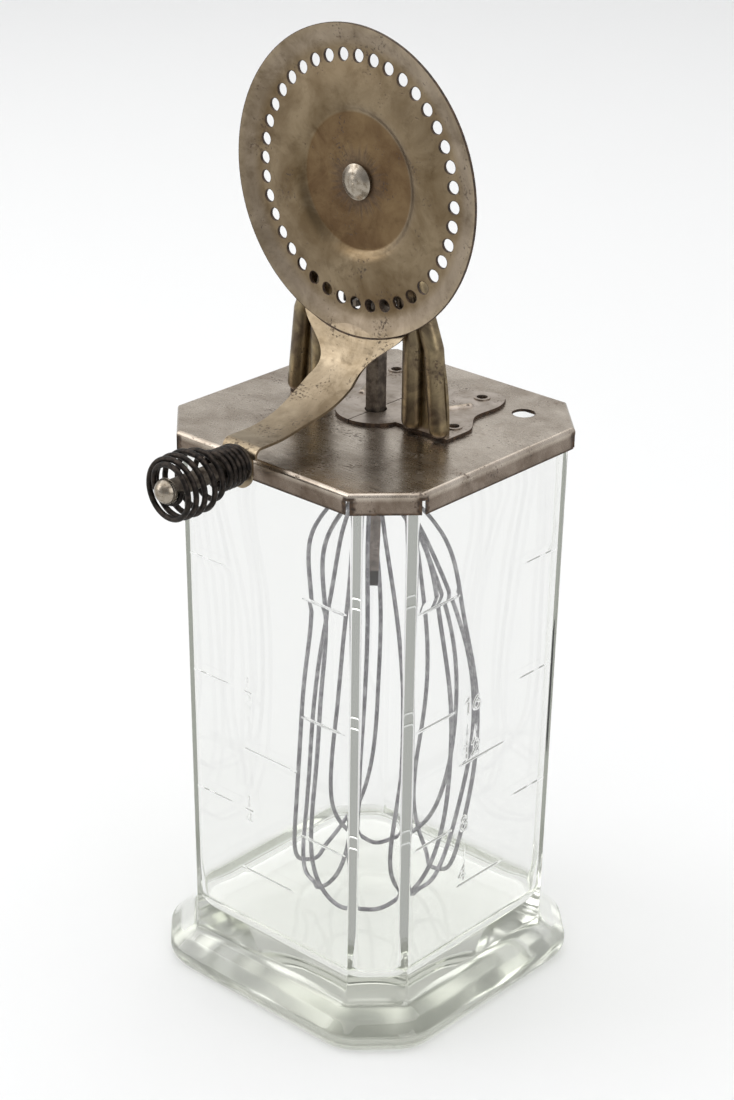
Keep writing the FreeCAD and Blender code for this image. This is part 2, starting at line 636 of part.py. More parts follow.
def make_crank_wheel():
    count = int(size("hole_count"))
    drill = Part.makeCylinder(size("hole_radius"), 8 * size("wheel_sheet"),
                              Vector(0, 4 * size("wheel_sheet"), -size("hole_circle")), Vector(0, -1, 0))
    holes = []
    for number in range(count):
        hole = drill.copy()
        hole.rotate(Vector(0, 0, 0), Vector(0, 1, 0), 360.0 * number / count)
        holes.append(hole)
    wheel = make_disc().cut(Part.makeCompound(holes)).fuse(make_arm())
    return feature("crank_wheel", wheel, Vector(shaft.x, wheel_y, axle_z))


# ---------------------------------------------------------------- stud and washers
WHEEL_Y = "(@shaft_y - @mesh_setback)"
HEAD_FRONT = "(@mesh_setback - @hub_sink - @wheel_sheet - @wheel_washer_thickness - 2 * @running_gap)"
HEAD_BACK = "(" + HEAD_FRONT + " - 2 * @frame_sheet - 2 * @snug_gap)"


def facing_front(obj, x, y, z):
    """Stand an object's own +Z along -Y, at a place bound to the sheet."""
    obj.Placement = Placement(Vector(0, 0, 0), Rotation(Vector(1, 0, 0), 90))
    return bind(obj, Placement__Base__x=cells(x), Placement__Base__y=cells(y), Placement__Base__z=cells(z))


def make_wheel_washer():
    ring = ring_body("wheel_washer", "@washer_radius", "@stud_radius + @running_gap", "@wheel_washer_thickness")
    facing_front(ring, "@shaft_x", "@shaft_y - " + HEAD_FRONT, AXLE_Z)


def make_rear_washer():
    ring = ring_body("rear_washer", "@washer_radius", "@stud_radius + @snug_gap", "@rear_washer_thickness")
    facing_front(ring, "@shaft_x", "@shaft_y - " + HEAD_BACK + " + @rear_washer_thickness", AXLE_Z)


def cap(radius, height, base):
    """Spherical cap on the plane z = base, bulging towards +Z."""
    ball = (radius ** 2 + height ** 2) / (2 * height)
    sphere = Part.makeSphere(ball, Vector(0, 0, base + height - ball))
    slab = Part.makeCylinder(radius, height, Vector(0, 0, base))
    return sphere.common(slab)


def make_stud():
    """Axle rivet: domed head in front of the hub, shank, and riveted end behind the rear washer."""
    radius = size("stud_radius")
    head = size("stud_head_radius")
    crown = size("stud_head_height")
    rim = 0.35 * crown
    behind = (size("wheel_sheet") + 2 * size("running_gap") + size("wheel_washer_thickness")
              + 2 * size("frame_sheet") + size("rear_washer_thickness") + 3 * size("snug_gap"))
    tail = size("rivet_head_height")
    gap = size("running_gap")
    shank = Part.makeCylinder(radius, behind + tail / 2 + gap, Vector(0, 0, -behind - tail / 2))
    stud = shank.fuse(Part.makeCylinder(head, rim, Vector(0, 0, gap))).fuse(cap(head, crown - rim, gap + rim))
    peened = cap(1.5 * radius, tail, 0)
    peened.rotate(Vector(0, 0, 0), Vector(1, 0, 0), 180)
    peened.translate(Vector(0, 0, -behind))
    stud = stud.fuse(peened).removeSplitter()
    stud.rotate(Vector(0, 0, 0), Vector(1, 0, 0), 90)
    return feature("wheel_stud", stud, Vector(shaft.x, wheel_y + size("hub_sink"), axle_z))


# ---------------------------------------------------------------- pinion and shaft
def bound_polygon(sketch, corners):
    """Closed polygon whose corners are bound to the sheet: pairs of expressions for x and y."""
    count = len(corners)
    turns = [2 * math.pi * k / count for k in range(count)]
    spots = [Vector(math.cos(turn), math.sin(turn), 0) for turn in turns]
    for k in range(count):
        sketch.addGeometry(Part.LineSegment(spots[k], spots[(k + 1) % count]), False)
    for k in range(count):
        sketch.addConstraint(Sketcher.Constraint("Coincident", k, 2, (k + 1) % count, 1))
    for k, (x, y) in enumerate(corners):
        for kind, text, now in (("DistanceX", x, spots[k].x), ("DistanceY", y, spots[k].y)):
            number = sketch.addConstraint(Sketcher.Constraint(kind, -1, 1, k, 1, now))
            sketch.setExpression("Constraints[%d]" % number, cells(text))


def square(sketch, side):
    half = "(" + side + ") / 2"
    bound_polygon(sketch, [(half, half), ("-" + half, half), ("-" + half, "-" + half), (half, "-" + half)])


def pad(body, sketch, name, length, reverse=False, both_ways=False):
    obj = body.newObject("PartDesign::Pad", name)
    obj.Profile = sketch
    obj.Reversed = reverse
    obj.Midplane = both_ways
    obj.setExpression("Length", cells(length))
    return obj


def make_pinion():
    """Thin lantern pinion: ten tapered teeth round a web, on a hub with a square bore."""
    body = doc.addObject("PartDesign::Body", "pinion")
    web = new_sketch(body, "pinion_web", "XY_Plane")
    circle(web, "@pinion_web_radius")
    pad(body, web, "pinion_web_pad", "@pinion_face", both_ways=True)
    tooth = new_sketch(body, "pinion_tooth", "XY_Plane")
    root = "0.9 * @pinion_web_radius"
    tip = "-(@mesh_setback + @tooth_reach)"
    bound_polygon(tooth, [("@tooth_root_width / 2", "-" + root), ("-@tooth_root_width / 2", "-" + root),
                          ("-@tooth_tip_width / 2", tip), ("@tooth_tip_width / 2", tip)])
    tooth_pad = pad(body, tooth, "pinion_tooth_pad", "@pinion_face", both_ways=True)
    doc.recompute()
    ring = body.newObject("PartDesign::PolarPattern", "pinion_teeth")
    ring.Originals = [tooth_pad]
    axis = [item for item in body.Origin.OriginFeatures if item.Role == "Z_Axis"][0]
    ring.Axis = (axis, [""])
    ring.Angle = 360
    ring.setExpression("Occurrences", cells("@pinion_teeth"))
    body.Tip = ring
    doc.recompute()
    hub = new_sketch(body, "pinion_hub", "XY_Plane")
    circle(hub, "@pinion_hub_radius")
    pad(body, hub, "pinion_hub_pad", "@pinion_hub_height", reverse=True)
    bore = new_sketch(body, "pinion_bore", "XY_Plane")
    square(bore, "@shaft_square + 2 * @snug_gap")
    cut = body.newObject("PartDesign::Pocket", "pinion_bore_cut")
    cut.Profile = bore
    cut.Midplane = True
    cut.setExpression("Length", cells("4 * @pinion_hub_height"))
    bore.AttachmentOffset = Placement(Vector(0, 0, 0), Rotation(Vector(0, 0, 1), size("shaft_turn")))
    bind(body, Placement__Base__x=cells("@shaft_x"), Placement__Base__y=cells("@shaft_y"),
         Placement__Base__z=cells(AXLE_Z + " - @hole_circle"))
    return keep("pinion", body)


def make_shaft():
    """Square bar with a round journal below, a pivot above and a tapered tongue at its lower end."""
    body = doc.addObject("PartDesign::Body", "drive_shaft")
    turned = Rotation(Vector(0, 0, 1), size("shaft_turn"))
    bar = new_sketch(body, "shaft_bar", "XY_Plane")
    bar.AttachmentOffset = Placement(Vector(0, 0, 0), turned)
    square(bar, "@shaft_square")
    pad(body, bar, "shaft_bar_pad", "@bridge_rise - 2 * @running_gap")
    journal = new_sketch(body, "shaft_journal", "XY_Plane")
    circle(journal, "@journal_radius")
    pad(body, journal, "shaft_journal_pad", "@ferrule_top + 0.75 * @ferrule_length", reverse=True)
    pivot = new_sketch(body, "shaft_pivot", "XY_Plane")
    circle(pivot, "@pivot_radius")
    pad(body, pivot, "shaft_pivot_pad", "@bridge_rise + @bridge_sheet + @pivot_radius")
    tongue = new_sketch(body, "shaft_tongue", "XZ_Plane")
    tongue.AttachmentOffset = Placement(Vector(0, 0, 0), Rotation(Vector(0, 1, 0), size("tongue_turn")))
    top = "-(@ferrule_top + 0.7 * @ferrule_length)"
    low = "-@tongue_depth"
    bound_polygon(tongue, [("@tongue_width / 2", top), ("-@tongue_width / 2", top),
                           ("-@tongue_end_width / 2", low), ("@tongue_end_width / 2", low)])
    pad(body, tongue, "shaft_tongue_pad", "@tongue_thickness", both_ways=True)
    bind(body, Placement__Base__x=cells("@shaft_x"), Placement__Base__y=cells("@shaft_y"),
         Placement__Base__z=cells(LID_TOP + " + @running_gap"))
    return keep("drive_shaft", body)


# ---------------------------------------------------------------- bush, collar and ferrule
def make_bush():
    """Flanged bush pushed up through the lid against the foot plates."""
    top = LID_TOP + " - @snug_gap"
    sleeve = cylinder("bush_sleeve", "@bush_radius", "@bush_length", "@shaft_x", "@shaft_y",
                      top + " - @bush_length")
    flange = cylinder("bush_flange", "@bush_flange_radius", "@bush_flange", "@shaft_x", "@shaft_y",
                      LID_TOP + " - @lid_sheet - @snug_gap - @bush_flange")
    bore = cylinder("bush_bore", "@journal_radius + @running_gap", "2 * @bush_length", "@shaft_x", "@shaft_y",
                    top + " - 1.5 * @bush_length")
    return keep("lower_bush", boolean("cut", "bush", boolean("fuse", "bush_body", sleeve, flange), bore))


def make_collar():
    top = LID_TOP + " - @snug_gap - @bush_length - @running_gap"
    ring = cylinder("collar_ring", "@collar_radius", "@collar_height", "@shaft_x", "@shaft_y",
                    top + " - @collar_height")
    bore = cylinder("collar_bore", "@journal_radius + @snug_gap", "2 * @collar_height", "@shaft_x", "@shaft_y",
                    top + " - 1.5 * @collar_height")
    return keep("shaft_collar", boolean("cut", "collar", ring, bore))


def make_ferrule():
    """Tube that holds the ends of the wires in a ring about the journal."""
    low = LID_TOP + " - @ferrule_top - @ferrule_length"
    outer = "@wire_circle + @wire_radius + @snug_gap"
    tube = cylinder("ferrule_tube", outer + " + @ferrule_wall", "@ferrule_length", "@shaft_x", "@shaft_y", low)
    bore = cylinder("ferrule_bore", outer, "2 * @ferrule_length", "@shaft_x", "@shaft_y",
                    low + " - 0.5 * @ferrule_length")
    return keep("whisk_ferrule", boolean("cut", "ferrule", tube, bore))


# ---------------------------------------------------------------- whisk
def make_loop(number):
    """One bent wire: down from the ferrule, out to a shoulder and a belly, and round in a U turn beneath.

    Every second loop lies within its neighbours, so that they cross one another without touching."""
    radius = size("wire_radius")
    ring = size("wire_circle")
    within = number % 2
    shoulder = size("inner_shoulder") if within else size("outer_shoulder")
    belly = size("whisk_belly") - within * size("shell_gap")
    foot = size("whisk_foot") - within * size("shell_gap")
    top = lid_top - size("ferrule_top")
    mouth = top - size("ferrule_length")
    bend = mouth - size("shoulder_drop")
    wide = size("belly_height")
    knee = size("knee_height")
    floor = size("jar_floor") + size("whisk_floor_gap") + radius + within * size("shell_step")
    # a leg, as height, distance from the whisk's middle, and share of the loop's half span
    leg = [(mouth, ring, 1.0), ((mouth + bend) / 2, (ring + shoulder) / 2, 1.0), (bend, shoulder, 1.0)]
    for share in (1 / 3, 2 / 3):
        swell = math.sin(share * math.pi / 2)
        leg.append((bend + (wide - bend) * share, shoulder + (belly - shoulder) * swell, 1.0))
    leg.append((wide, belly, 1.0))
    # below the belly the surface is half an ellipsoid, and the U turn is half an ellipse on it
    for turn in (0, 30, 55, 75, 90):
        height = knee - (knee - floor) * math.sin(math.radians(turn))
        inward = math.sqrt(max(0.0, 1 - ((wide - height) / (wide - floor)) ** 2))
        leg.append((height, foot + (belly - foot) * inward, math.cos(math.radians(turn))))
    points = [loop_point(number, -1, *station, mouth, floor) for station in leg]
    points += [loop_point(number, 1, *station, mouth, floor) for station in reversed(leg[:-1])]
    rise = Vector(0, 0, top - mouth)
    bow = spline(points, Vector(0, 0, -1), Vector(0, 0, 1))
    path = Part.Wire([Part.LineSegment(points[0] + rise, points[0]).toShape(), bow,
                      Part.LineSegment(points[-1], points[-1] + rise).toShape()])
    loop = swept_wire(path, radius, loop_facing(number))
    return feature("whisk_loop_%d" % (number + 1), loop, Vector(shaft.x, shaft.y, 0))


def loop_facing(number):
    """Direction from the whisk's middle to the middle of a loop."""
    turn = math.radians(size("whisk_turn") + 360.0 * number / int(size("whisk_loops")))
    return Vector(math.cos(turn), math.sin(turn), 0)


def loop_point(number, side, height, distance, share, mouth, floor):
    """A point of one of a loop's two legs, moved sideways by the bow of the whole whisk at its height."""
    turn = Rotation(Vector(0, 0, 1), side * share * size("loop_span") / 2)
    bow = size("whisk_bow") * math.sin(math.pi * (mouth - height) / (mouth - floor))
    aside = Rotation(Vector(0, 0, 1), size("bow_turn")).multVec(Vector(bow, 0, 0))
    return turn.multVec(loop_facing(number)) * distance + aside + Vector(0, 0, height)


# ---------------------------------------------------------------- handle
def tab_place(distance):
    """A point on the handle's axis, measured forwards from the tab's front face."""
    return Vector(shaft.x, tab_y - distance, pin_z)


def make_grip_washer():
    ring = ring_body("grip_washer", "@grip_washer_radius", "@pin_radius + @running_gap",
                     "@grip_washer_thickness")
    facing_front(ring, "@shaft_x", "@shaft_y - @arm_reach - @running_gap", AXLE_Z + " - @crank_radius")


def coil_start():
    return size("grip_washer_thickness") + 2 * size("running_gap") + size("grip_wire_radius")


def make_coil():
    """Close neck turns, a barrel of open turns, and a last turn that winds back in to the sleeve."""
    wire = size("grip_wire_radius")
    neck = size("grip_neck_radius")
    ball = size("grip_ball_radius")
    taper = size("grip_ball_taper")
    closed = size("sleeve_radius") + wire + size("snug_gap")
    neck_turns = size("grip_neck_turns")
    ball_turns = size("grip_ball_turns")
    neck_length = size("grip_neck_pitch") * neck_turns
    front = size("grip_length") + size("grip_overhang") - wire
    seat = size("grip_length") - 3 * wire
    steps = 24
    points = []
    for step in range(int((neck_turns + ball_turns + 1) * steps) + 1):
        turn = step / steps
        if turn <= neck_turns:
            along = size("grip_neck_pitch") * turn
            radius = neck
        elif turn <= neck_turns + ball_turns:
            share = (turn - neck_turns) / ball_turns
            along = neck_length + (front - neck_length) * (share + 0.10 * math.sin(math.pi * share))
            radius = neck + (ball - neck) * math.sin(math.pi / 2 * min(1, 2.2 * share)) ** 1.3
            radius -= taper * share ** 4
        else:
            share = turn - neck_turns - ball_turns
            ease = (1 - math.cos(math.pi * share)) / 2
            along = front + (seat - front) * ease
            radius = ball - taper + (closed - ball + taper) * ease
        angle = 2 * math.pi * turn
        points.append(Vector(radius * math.cos(angle), radius * math.sin(angle), along))
    coil = swept_wire(Part.Wire([spline(points)]), wire)
    coil.rotate(Vector(0, 0, 0), Vector(1, 0, 0), 90)
    return feature("grip_coil", coil, tab_place(coil_start()))


def make_sleeve():
    """Turned sleeve that runs on the pin: a thick end inside the neck turns, then a thin tube."""
    start = size("grip_washer_thickness") + 2 * size("running_gap")
    thick = size("grip_neck_radius") - size("grip_wire_radius") - size("snug_gap")
    neck = size("grip_neck_pitch") * (size("grip_neck_turns") - 1)
    length = size("grip_length")
    sleeve = Part.makeCylinder(thick, neck).fuse(Part.makeCylinder(size("sleeve_radius"), length))
    sleeve = sleeve.cut(Part.makeCylinder(size("pin_radius") + size("running_gap"), 3 * length,
                                          Vector(0, 0, -length)))
    sleeve.rotate(Vector(0, 0, 0), Vector(1, 0, 0), 90)
    return feature("grip_sleeve", sleeve.removeSplitter(), tab_place(start))


def make_pin():
    """Handle pin: domed head in front of the sleeve, shank, and a riveted end behind the tab."""
    radius = size("pin_radius")
    dome = size("pin_dome_radius")
    reach = size("grip_washer_thickness") + 3 * size("running_gap") + size("grip_length")
    behind = size("wheel_sheet") + size("snug_gap")
    tail = size("rivet_head_height")
    pin = Part.makeCylinder(radius, reach + behind + tail / 2, Vector(0, 0, -behind - tail / 2))
    end = Vector(0, 0, reach)
    head = Part.makeSphere(dome, end).common(Part.makeCylinder(2 * dome, 2 * dome, end))
    peened = cap(size("pin_tail_radius"), tail, 0)
    peened.rotate(Vector(0, 0, 0), Vector(1, 0, 0), 180)
    peened.translate(Vector(0, 0, -behind))
    pin = pin.fuse(head).fuse(peened).removeSplitter()
    pin.rotate(Vector(0, 0, 0), Vector(1, 0, 0), 90)
    return feature("handle_pin", pin, tab_place(0))


# ---------------------------------------------------------------- build, check and write
make_jar()
make_lid()
make_frame_half("frame_right", 1, head_front())
make_frame_half("frame_left", -1, head_front() - size("frame_sheet") - size("snug_gap"))
make_eyelets()
make_bridge()
make_bridge_rivets()
make_crank_wheel()
make_wheel_washer()
make_rear_washer()
make_stud()
make_pinion()
make_shaft()
make_bush()
make_collar()
make_ferrule()
for index in range(int(size("whisk_loops"))):
    make_loop(index)
make_grip_washer()
make_coil()
make_sleeve()
make_pin()
doc.recompute()

for item in doc.Objects:
    if "Invalid" in item.State or "Error" in item.State:
        raise RuntimeError("%s did not recompute: %s" % (item.Label, item.State))
for item in nodes:
    if item.Shape.isNull() or not item.Shape.isValid() or item.Shape.Volume <= 0:
        raise RuntimeError("%s has no valid shape" % item.Label)
    item.Shape.exportStep("parts/%s.step" % item.Label)
    print("%-16s %2d solids %12.2f mm3" % (item.Label, len(item.Shape.Solids), item.Shape.Volume))
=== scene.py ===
import json
import math

import bpy
import numpy as np
from mathutils import Matrix, Vector


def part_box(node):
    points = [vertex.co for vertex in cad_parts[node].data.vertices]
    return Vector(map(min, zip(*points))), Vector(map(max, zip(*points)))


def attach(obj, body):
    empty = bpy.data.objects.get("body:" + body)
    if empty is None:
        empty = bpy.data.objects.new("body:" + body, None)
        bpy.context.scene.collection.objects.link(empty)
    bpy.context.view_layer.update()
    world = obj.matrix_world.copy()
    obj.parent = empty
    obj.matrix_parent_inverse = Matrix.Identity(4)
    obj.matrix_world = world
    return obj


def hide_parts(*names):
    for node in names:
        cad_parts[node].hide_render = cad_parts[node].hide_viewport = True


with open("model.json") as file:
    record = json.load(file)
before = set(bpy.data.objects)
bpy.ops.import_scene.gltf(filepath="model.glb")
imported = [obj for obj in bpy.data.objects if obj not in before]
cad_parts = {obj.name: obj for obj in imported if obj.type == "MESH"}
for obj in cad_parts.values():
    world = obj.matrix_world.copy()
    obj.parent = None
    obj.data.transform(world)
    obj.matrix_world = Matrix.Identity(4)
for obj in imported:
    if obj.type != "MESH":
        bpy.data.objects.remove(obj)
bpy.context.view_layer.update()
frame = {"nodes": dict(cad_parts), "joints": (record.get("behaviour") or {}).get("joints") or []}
MM = 0.001


# ---------------------------------------------------------------- the CAD pieces' places and sizes
JAR_LOW, JAR_HIGH = (np.array(corner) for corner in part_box("glass_jar"))
LID_LOW, LID_HIGH = (np.array(corner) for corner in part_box("lid"))
LID_HALF = (LID_HIGH[0] - LID_LOW[0]) / 2
LID_CHAMFER = 14.3 * MM
LID_FLAT = LID_HALF - LID_CHAMFER
OIL_HOLE = (28.8 * MM, 30.7 * MM, 0.0)
OIL_HOLE_RADIUS = 3.3 * MM
WHEEL = tuple(next(joint["pos_m"] for joint in frame["joints"] if joint["name"] == "crank_turn"))
WHEEL_RADIUS = 42.8 * MM
HOLE_CIRCLE = 34.15 * MM
HOLE_COUNT = 40
HOLE_RADIUS = 1.8 * MM
TONGUE_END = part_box("drive_shaft")[0][2]


# ---------------------------------------------------------------- small tools
def rgb(text):
    """A colour written as sRGB hex, as linear red, green, blue and alpha."""
    parts = [int(text[i:i + 2], 16) / 255 for i in (1, 3, 5)]
    linear = [p / 12.92 if p <= 0.04045 else ((p + 0.055) / 1.055) ** 2.4 for p in parts]
    return (*linear, 1.0)


def grey(value):
    """A linear grey with its alpha."""
    return (value, value, value, 1.0)


def per(size_mm):
    """Texture scale whose features are size_mm across, for coordinates in metres."""
    return 1 / (size_mm * MM)


def node(tree, kind, inputs=None, stops=None, **settings):
    """Adds one node: settings are its properties, inputs its sockets' values or the sockets linked to them,
    and stops the (place, colour) pairs of a colour ramp."""
    made = tree.nodes.new(kind)
    for name, value in settings.items():
        setattr(made, name, value)
    for key, value in (inputs or {}).items():
        socket = made.inputs[key]
        if isinstance(value, bpy.types.NodeSocket):
            tree.links.new(value, socket)
        else:
            socket.default_value = value
    for number, (place, colour) in enumerate(stops or ()):
        while len(made.color_ramp.elements) <= number:
            made.color_ramp.elements.new(place)
        made.color_ramp.elements[number].position = place
        made.color_ramp.elements[number].color = colour
    return made


def new_material(name):
    """An empty node material, with its tree and its output."""
    made = bpy.data.materials.new(name)
    made.use_nodes = True
    made.node_tree.nodes.clear()
    return made, made.node_tree, made.node_tree.nodes.new("ShaderNodeOutputMaterial")


def paint(material, *names):
    """Gives CAD nodes a material in every slot they have."""
    for name in names:
        mesh = frame["nodes"][name].data
        if not mesh.materials:
            mesh.materials.append(material)
        for index in range(len(mesh.materials)):
            mesh.materials[index] = material


# ---------------------------------------------------------------- masks: 1 inside of a region, 0 outside
def within(tree, value, low, high, soft):
    """1 where a value lies between low and high, fading to 0 over soft on both sides."""
    rise = node(tree, "ShaderNodeMapRange",
                {"Value": value, "From Min": low - soft, "From Max": low}).outputs[0]
    fall = node(tree, "ShaderNodeMapRange", {"Value": value, "From Min": high, "From Max": high + soft,
                                             "To Min": 1.0, "To Max": 0.0}).outputs[0]
    return node(tree, "ShaderNodeMath", {0: rise, 1: fall}, operation="MULTIPLY").outputs[0]


def axle_distance(tree, place):
    """Distance from the wheel's axle, and the place seen from it in the wheel's plane."""
    seen = node(tree, "ShaderNodeVectorMath", {0: place, 1: WHEEL}, operation="SUBTRACT")
    flat = node(tree, "ShaderNodeVectorMath", {0: seen.outputs["Vector"], 1: (1.0, 0.0, 1.0)},
                operation="MULTIPLY").outputs["Vector"]
    away = node(tree, "ShaderNodeVectorMath", {0: flat}, operation="LENGTH").outputs["Value"]
    return away, flat


def rim_and_hole_edges(tree, place):
    """The wheel's cut edges: its rim, and the walls of the holes, found as the distance to the nearest of
    the holes: the angle counted in holes, less the whole number, gives the way along the circle."""
    rim_width, past_rim, rim_soft = 0.12 * MM, 0.3 * MM, 0.05 * MM
    wall_width, wall_soft = 0.06 * MM, 0.14 * MM
    away, flat = axle_distance(tree, place)
    rim = within(tree, away, WHEEL_RADIUS - rim_width, WHEEL_RADIUS + past_rim, rim_soft)
    parts = node(tree, "ShaderNodeSeparateXYZ", {0: flat})
    angle = node(tree, "ShaderNodeMath", {0: parts.outputs["X"], 1: parts.outputs["Z"]},
                 operation="ARCTAN2").outputs[0]
    count = node(tree, "ShaderNodeMath", {0: angle, 1: HOLE_COUNT / math.tau},
                 operation="MULTIPLY").outputs[0]
    whole = node(tree, "ShaderNodeMath", {0: count}, operation="ROUND").outputs[0]
    rest = node(tree, "ShaderNodeMath", {0: count, 1: whole}, operation="SUBTRACT").outputs[0]
    along = node(tree, "ShaderNodeMath", {0: rest, 1: math.tau * HOLE_CIRCLE / HOLE_COUNT},
                 operation="MULTIPLY").outputs[0]
    across = node(tree, "ShaderNodeMath", {0: away, 1: HOLE_CIRCLE}, operation="SUBTRACT").outputs[0]
    offset = node(tree, "ShaderNodeCombineXYZ", {"X": along, "Y": across}).outputs[0]
    near = node(tree, "ShaderNodeVectorMath", {0: offset}, operation="LENGTH").outputs["Value"]
    wall = within(tree, near, 0.0, HOLE_RADIUS + wall_width, wall_soft)
    return node(tree, "ShaderNodeMath", {0: rim, 1: wall}, operation="MAXIMUM").outputs[0]


def wheel_ring(low_mm, high_mm, soft_mm):
    """A mask that covers a ring about the wheel's axle."""
    def mask(tree, place):
        return within(tree, axle_distance(tree, place)[0], low_mm * MM, high_mm * MM, soft_mm * MM)
    return mask


def stud_grime(tree, place):
    """Rust that creeps out from under the stud in fine ragged rays: a noise of the direction alone says how
    far each ray reaches."""
    shortest, longest = 5.5 * MM, 12.5 * MM
    fade_inside, fade_outside, strongest = -2.5 * MM, 0.6 * MM, 0.5
    away, flat = axle_distance(tree, place)
    way = node(tree, "ShaderNodeVectorMath", {0: flat}, operation="NORMALIZE").outputs["Vector"]
    rays = node(tree, "ShaderNodeTexNoise",
                {"Vector": way, "Scale": 9.0, "Detail": 5.0, "Roughness": 0.7}).outputs["Fac"]
    edge = node(tree, "ShaderNodeMapRange", {"Value": rays, "From Min": 0.3, "From Max": 0.7,
                                             "To Min": shortest, "To Max": longest}).outputs[0]
    past = node(tree, "ShaderNodeMath", {0: away, 1: edge}, operation="SUBTRACT").outputs[0]
    return node(tree, "ShaderNodeMapRange", {"Value": past, "From Min": fade_inside, "From Max": fade_outside,
                                             "To Min": strongest, "To Max": 0.0}).outputs[0]


def height_below(level, soft):
    """A mask that covers what lies below a height."""
    far_below = -1.0

    def mask(tree, place):
        parts = node(tree, "ShaderNodeSeparateXYZ", {0: place})
        return within(tree, parts.outputs["Z"], far_below, level, soft)
    return mask


def lid_corners(tree, place):
    """Rust about the slots at the lid's eight corners, where the distance to the nearest upright corner line
    is small, and on the cut wall of the oil hole."""
    ragged_reach, slot_near, slot_far = 2.6 * MM, 0.2 * MM, 0.9 * MM
    slot_top, slot_soft = 1.3 * MM, 0.6 * MM
    wall_width, wall_soft = 0.05 * MM, 0.1 * MM
    folded = node(tree, "ShaderNodeVectorMath", {0: place}, operation="ABSOLUTE").outputs["Vector"]
    flat, level = (node(tree, "ShaderNodeVectorMath", {0: seen, 1: (1.0, 1.0, 0.0)},
                        operation="MULTIPLY").outputs["Vector"] for seen in (folded, place))
    near = [node(tree, "ShaderNodeVectorMath", {0: flat, 1: spot}, operation="DISTANCE").outputs["Value"]
            for spot in ((LID_HALF, LID_FLAT, 0.0), (LID_FLAT, LID_HALF, 0.0))]
    least = node(tree, "ShaderNodeMath", {0: near[0], 1: near[1]}, operation="MINIMUM").outputs[0]
    ragged = node(tree, "ShaderNodeTexNoise",
                  {"Vector": place, "Scale": per(1.5), "Detail": 4.0}).outputs["Fac"]
    spread = node(tree, "ShaderNodeMath", {0: ragged, 1: -ragged_reach, 2: least},
                  operation="MULTIPLY_ADD").outputs[0]
    close = node(tree, "ShaderNodeMapRange", {"Value": spread, "From Min": slot_near, "From Max": slot_far,
                                              "To Min": 1.0, "To Max": 0.0}).outputs[0]
    below = height_below(LID_HIGH[2] - slot_top, slot_soft)(tree, place)
    slots = node(tree, "ShaderNodeMath", {0: close, 1: below}, operation="MULTIPLY").outputs[0]
    away = node(tree, "ShaderNodeVectorMath", {0: level, 1: OIL_HOLE}, operation="DISTANCE").outputs["Value"]
    wall = within(tree, away, 0.0, OIL_HOLE_RADIUS + wall_width, wall_soft)
    return node(tree, "ShaderNodeMath", {0: slots, 1: wall}, operation="MAXIMUM").outputs[0]


# ---------------------------------------------------------------- materials
# features of worn plate, in millimetres; pits and scratches are drawn coarser than real ones, which are too
# fine to show
STAIN_PATCH = 5.0
PIT = 0.8
PIT_GROUP = 9.0
RUST_GRAIN = 1.1
SCRATCH_WIDTH = 0.35
PRESS_WAVE = 11.0


def with_regions(tree, place, cloud, colour, regions, light_until, dark_from):
    """A colour, with the two cloudy tones of each region over it where that region's mask is."""
    for mask, light, dark in regions:
        own = node(tree, "ShaderNodeValToRGB", {"Fac": cloud},
                   stops=[(light_until, rgb(light)), (dark_from, rgb(dark))]).outputs["Color"]
        colour = node(tree, "ShaderNodeMix", {"Factor": mask(tree, place), "A": colour, "B": own},
                      data_type="RGBA").outputs["Result"]
    return colour


def stains(tree, spot):
    """Where stains lie, in patches with ragged edges, half through at most."""
    patch = node(tree, "ShaderNodeTexNoise", {"Vector": spot, "Scale": per(STAIN_PATCH), "Detail": 8.0,
                                              "Roughness": 0.68, "Distortion": 0.3}).outputs["Fac"]
    return node(tree, "ShaderNodeValToRGB", {"Fac": patch},
                stops=[(0.53, grey(0.0)), (0.76, grey(0.5))]).outputs["Color"]


def bare_steel(tree, place, spot, rust):
    """Where the plate is gone: pits that crowd in groups, and what the rust masks cover."""
    pit = node(tree, "ShaderNodeTexNoise",
               {"Vector": spot, "Scale": per(PIT), "Detail": 2.0, "Roughness": 0.5}).outputs["Fac"]
    group = node(tree, "ShaderNodeTexNoise",
                 {"Vector": spot, "Scale": per(PIT_GROUP), "Detail": 3.0}).outputs["Fac"]
    crowd = node(tree, "ShaderNodeMath", {0: pit, 1: group}, operation="MULTIPLY").outputs[0]
    bare = node(tree, "ShaderNodeValToRGB", {"Fac": crowd},
                stops=[(0.345, grey(0.0)), (0.43, grey(0.7))]).outputs["Color"]
    for mask in rust:
        bare = node(tree, "ShaderNodeMath", {0: bare, 1: mask(tree, place)}, operation="MAXIMUM").outputs[0]
    return bare


def rust_colour(tree, spot):
    """Grainy dark brown."""
    grain = node(tree, "ShaderNodeTexNoise",
                 {"Vector": spot, "Scale": per(RUST_GRAIN), "Detail": 4.0}).outputs["Fac"]
    return node(tree, "ShaderNodeValToRGB", {"Fac": grain},
                stops=[(0.35, rgb("#2B211A")), (0.7, rgb("#5A4532"))]).outputs["Color"]


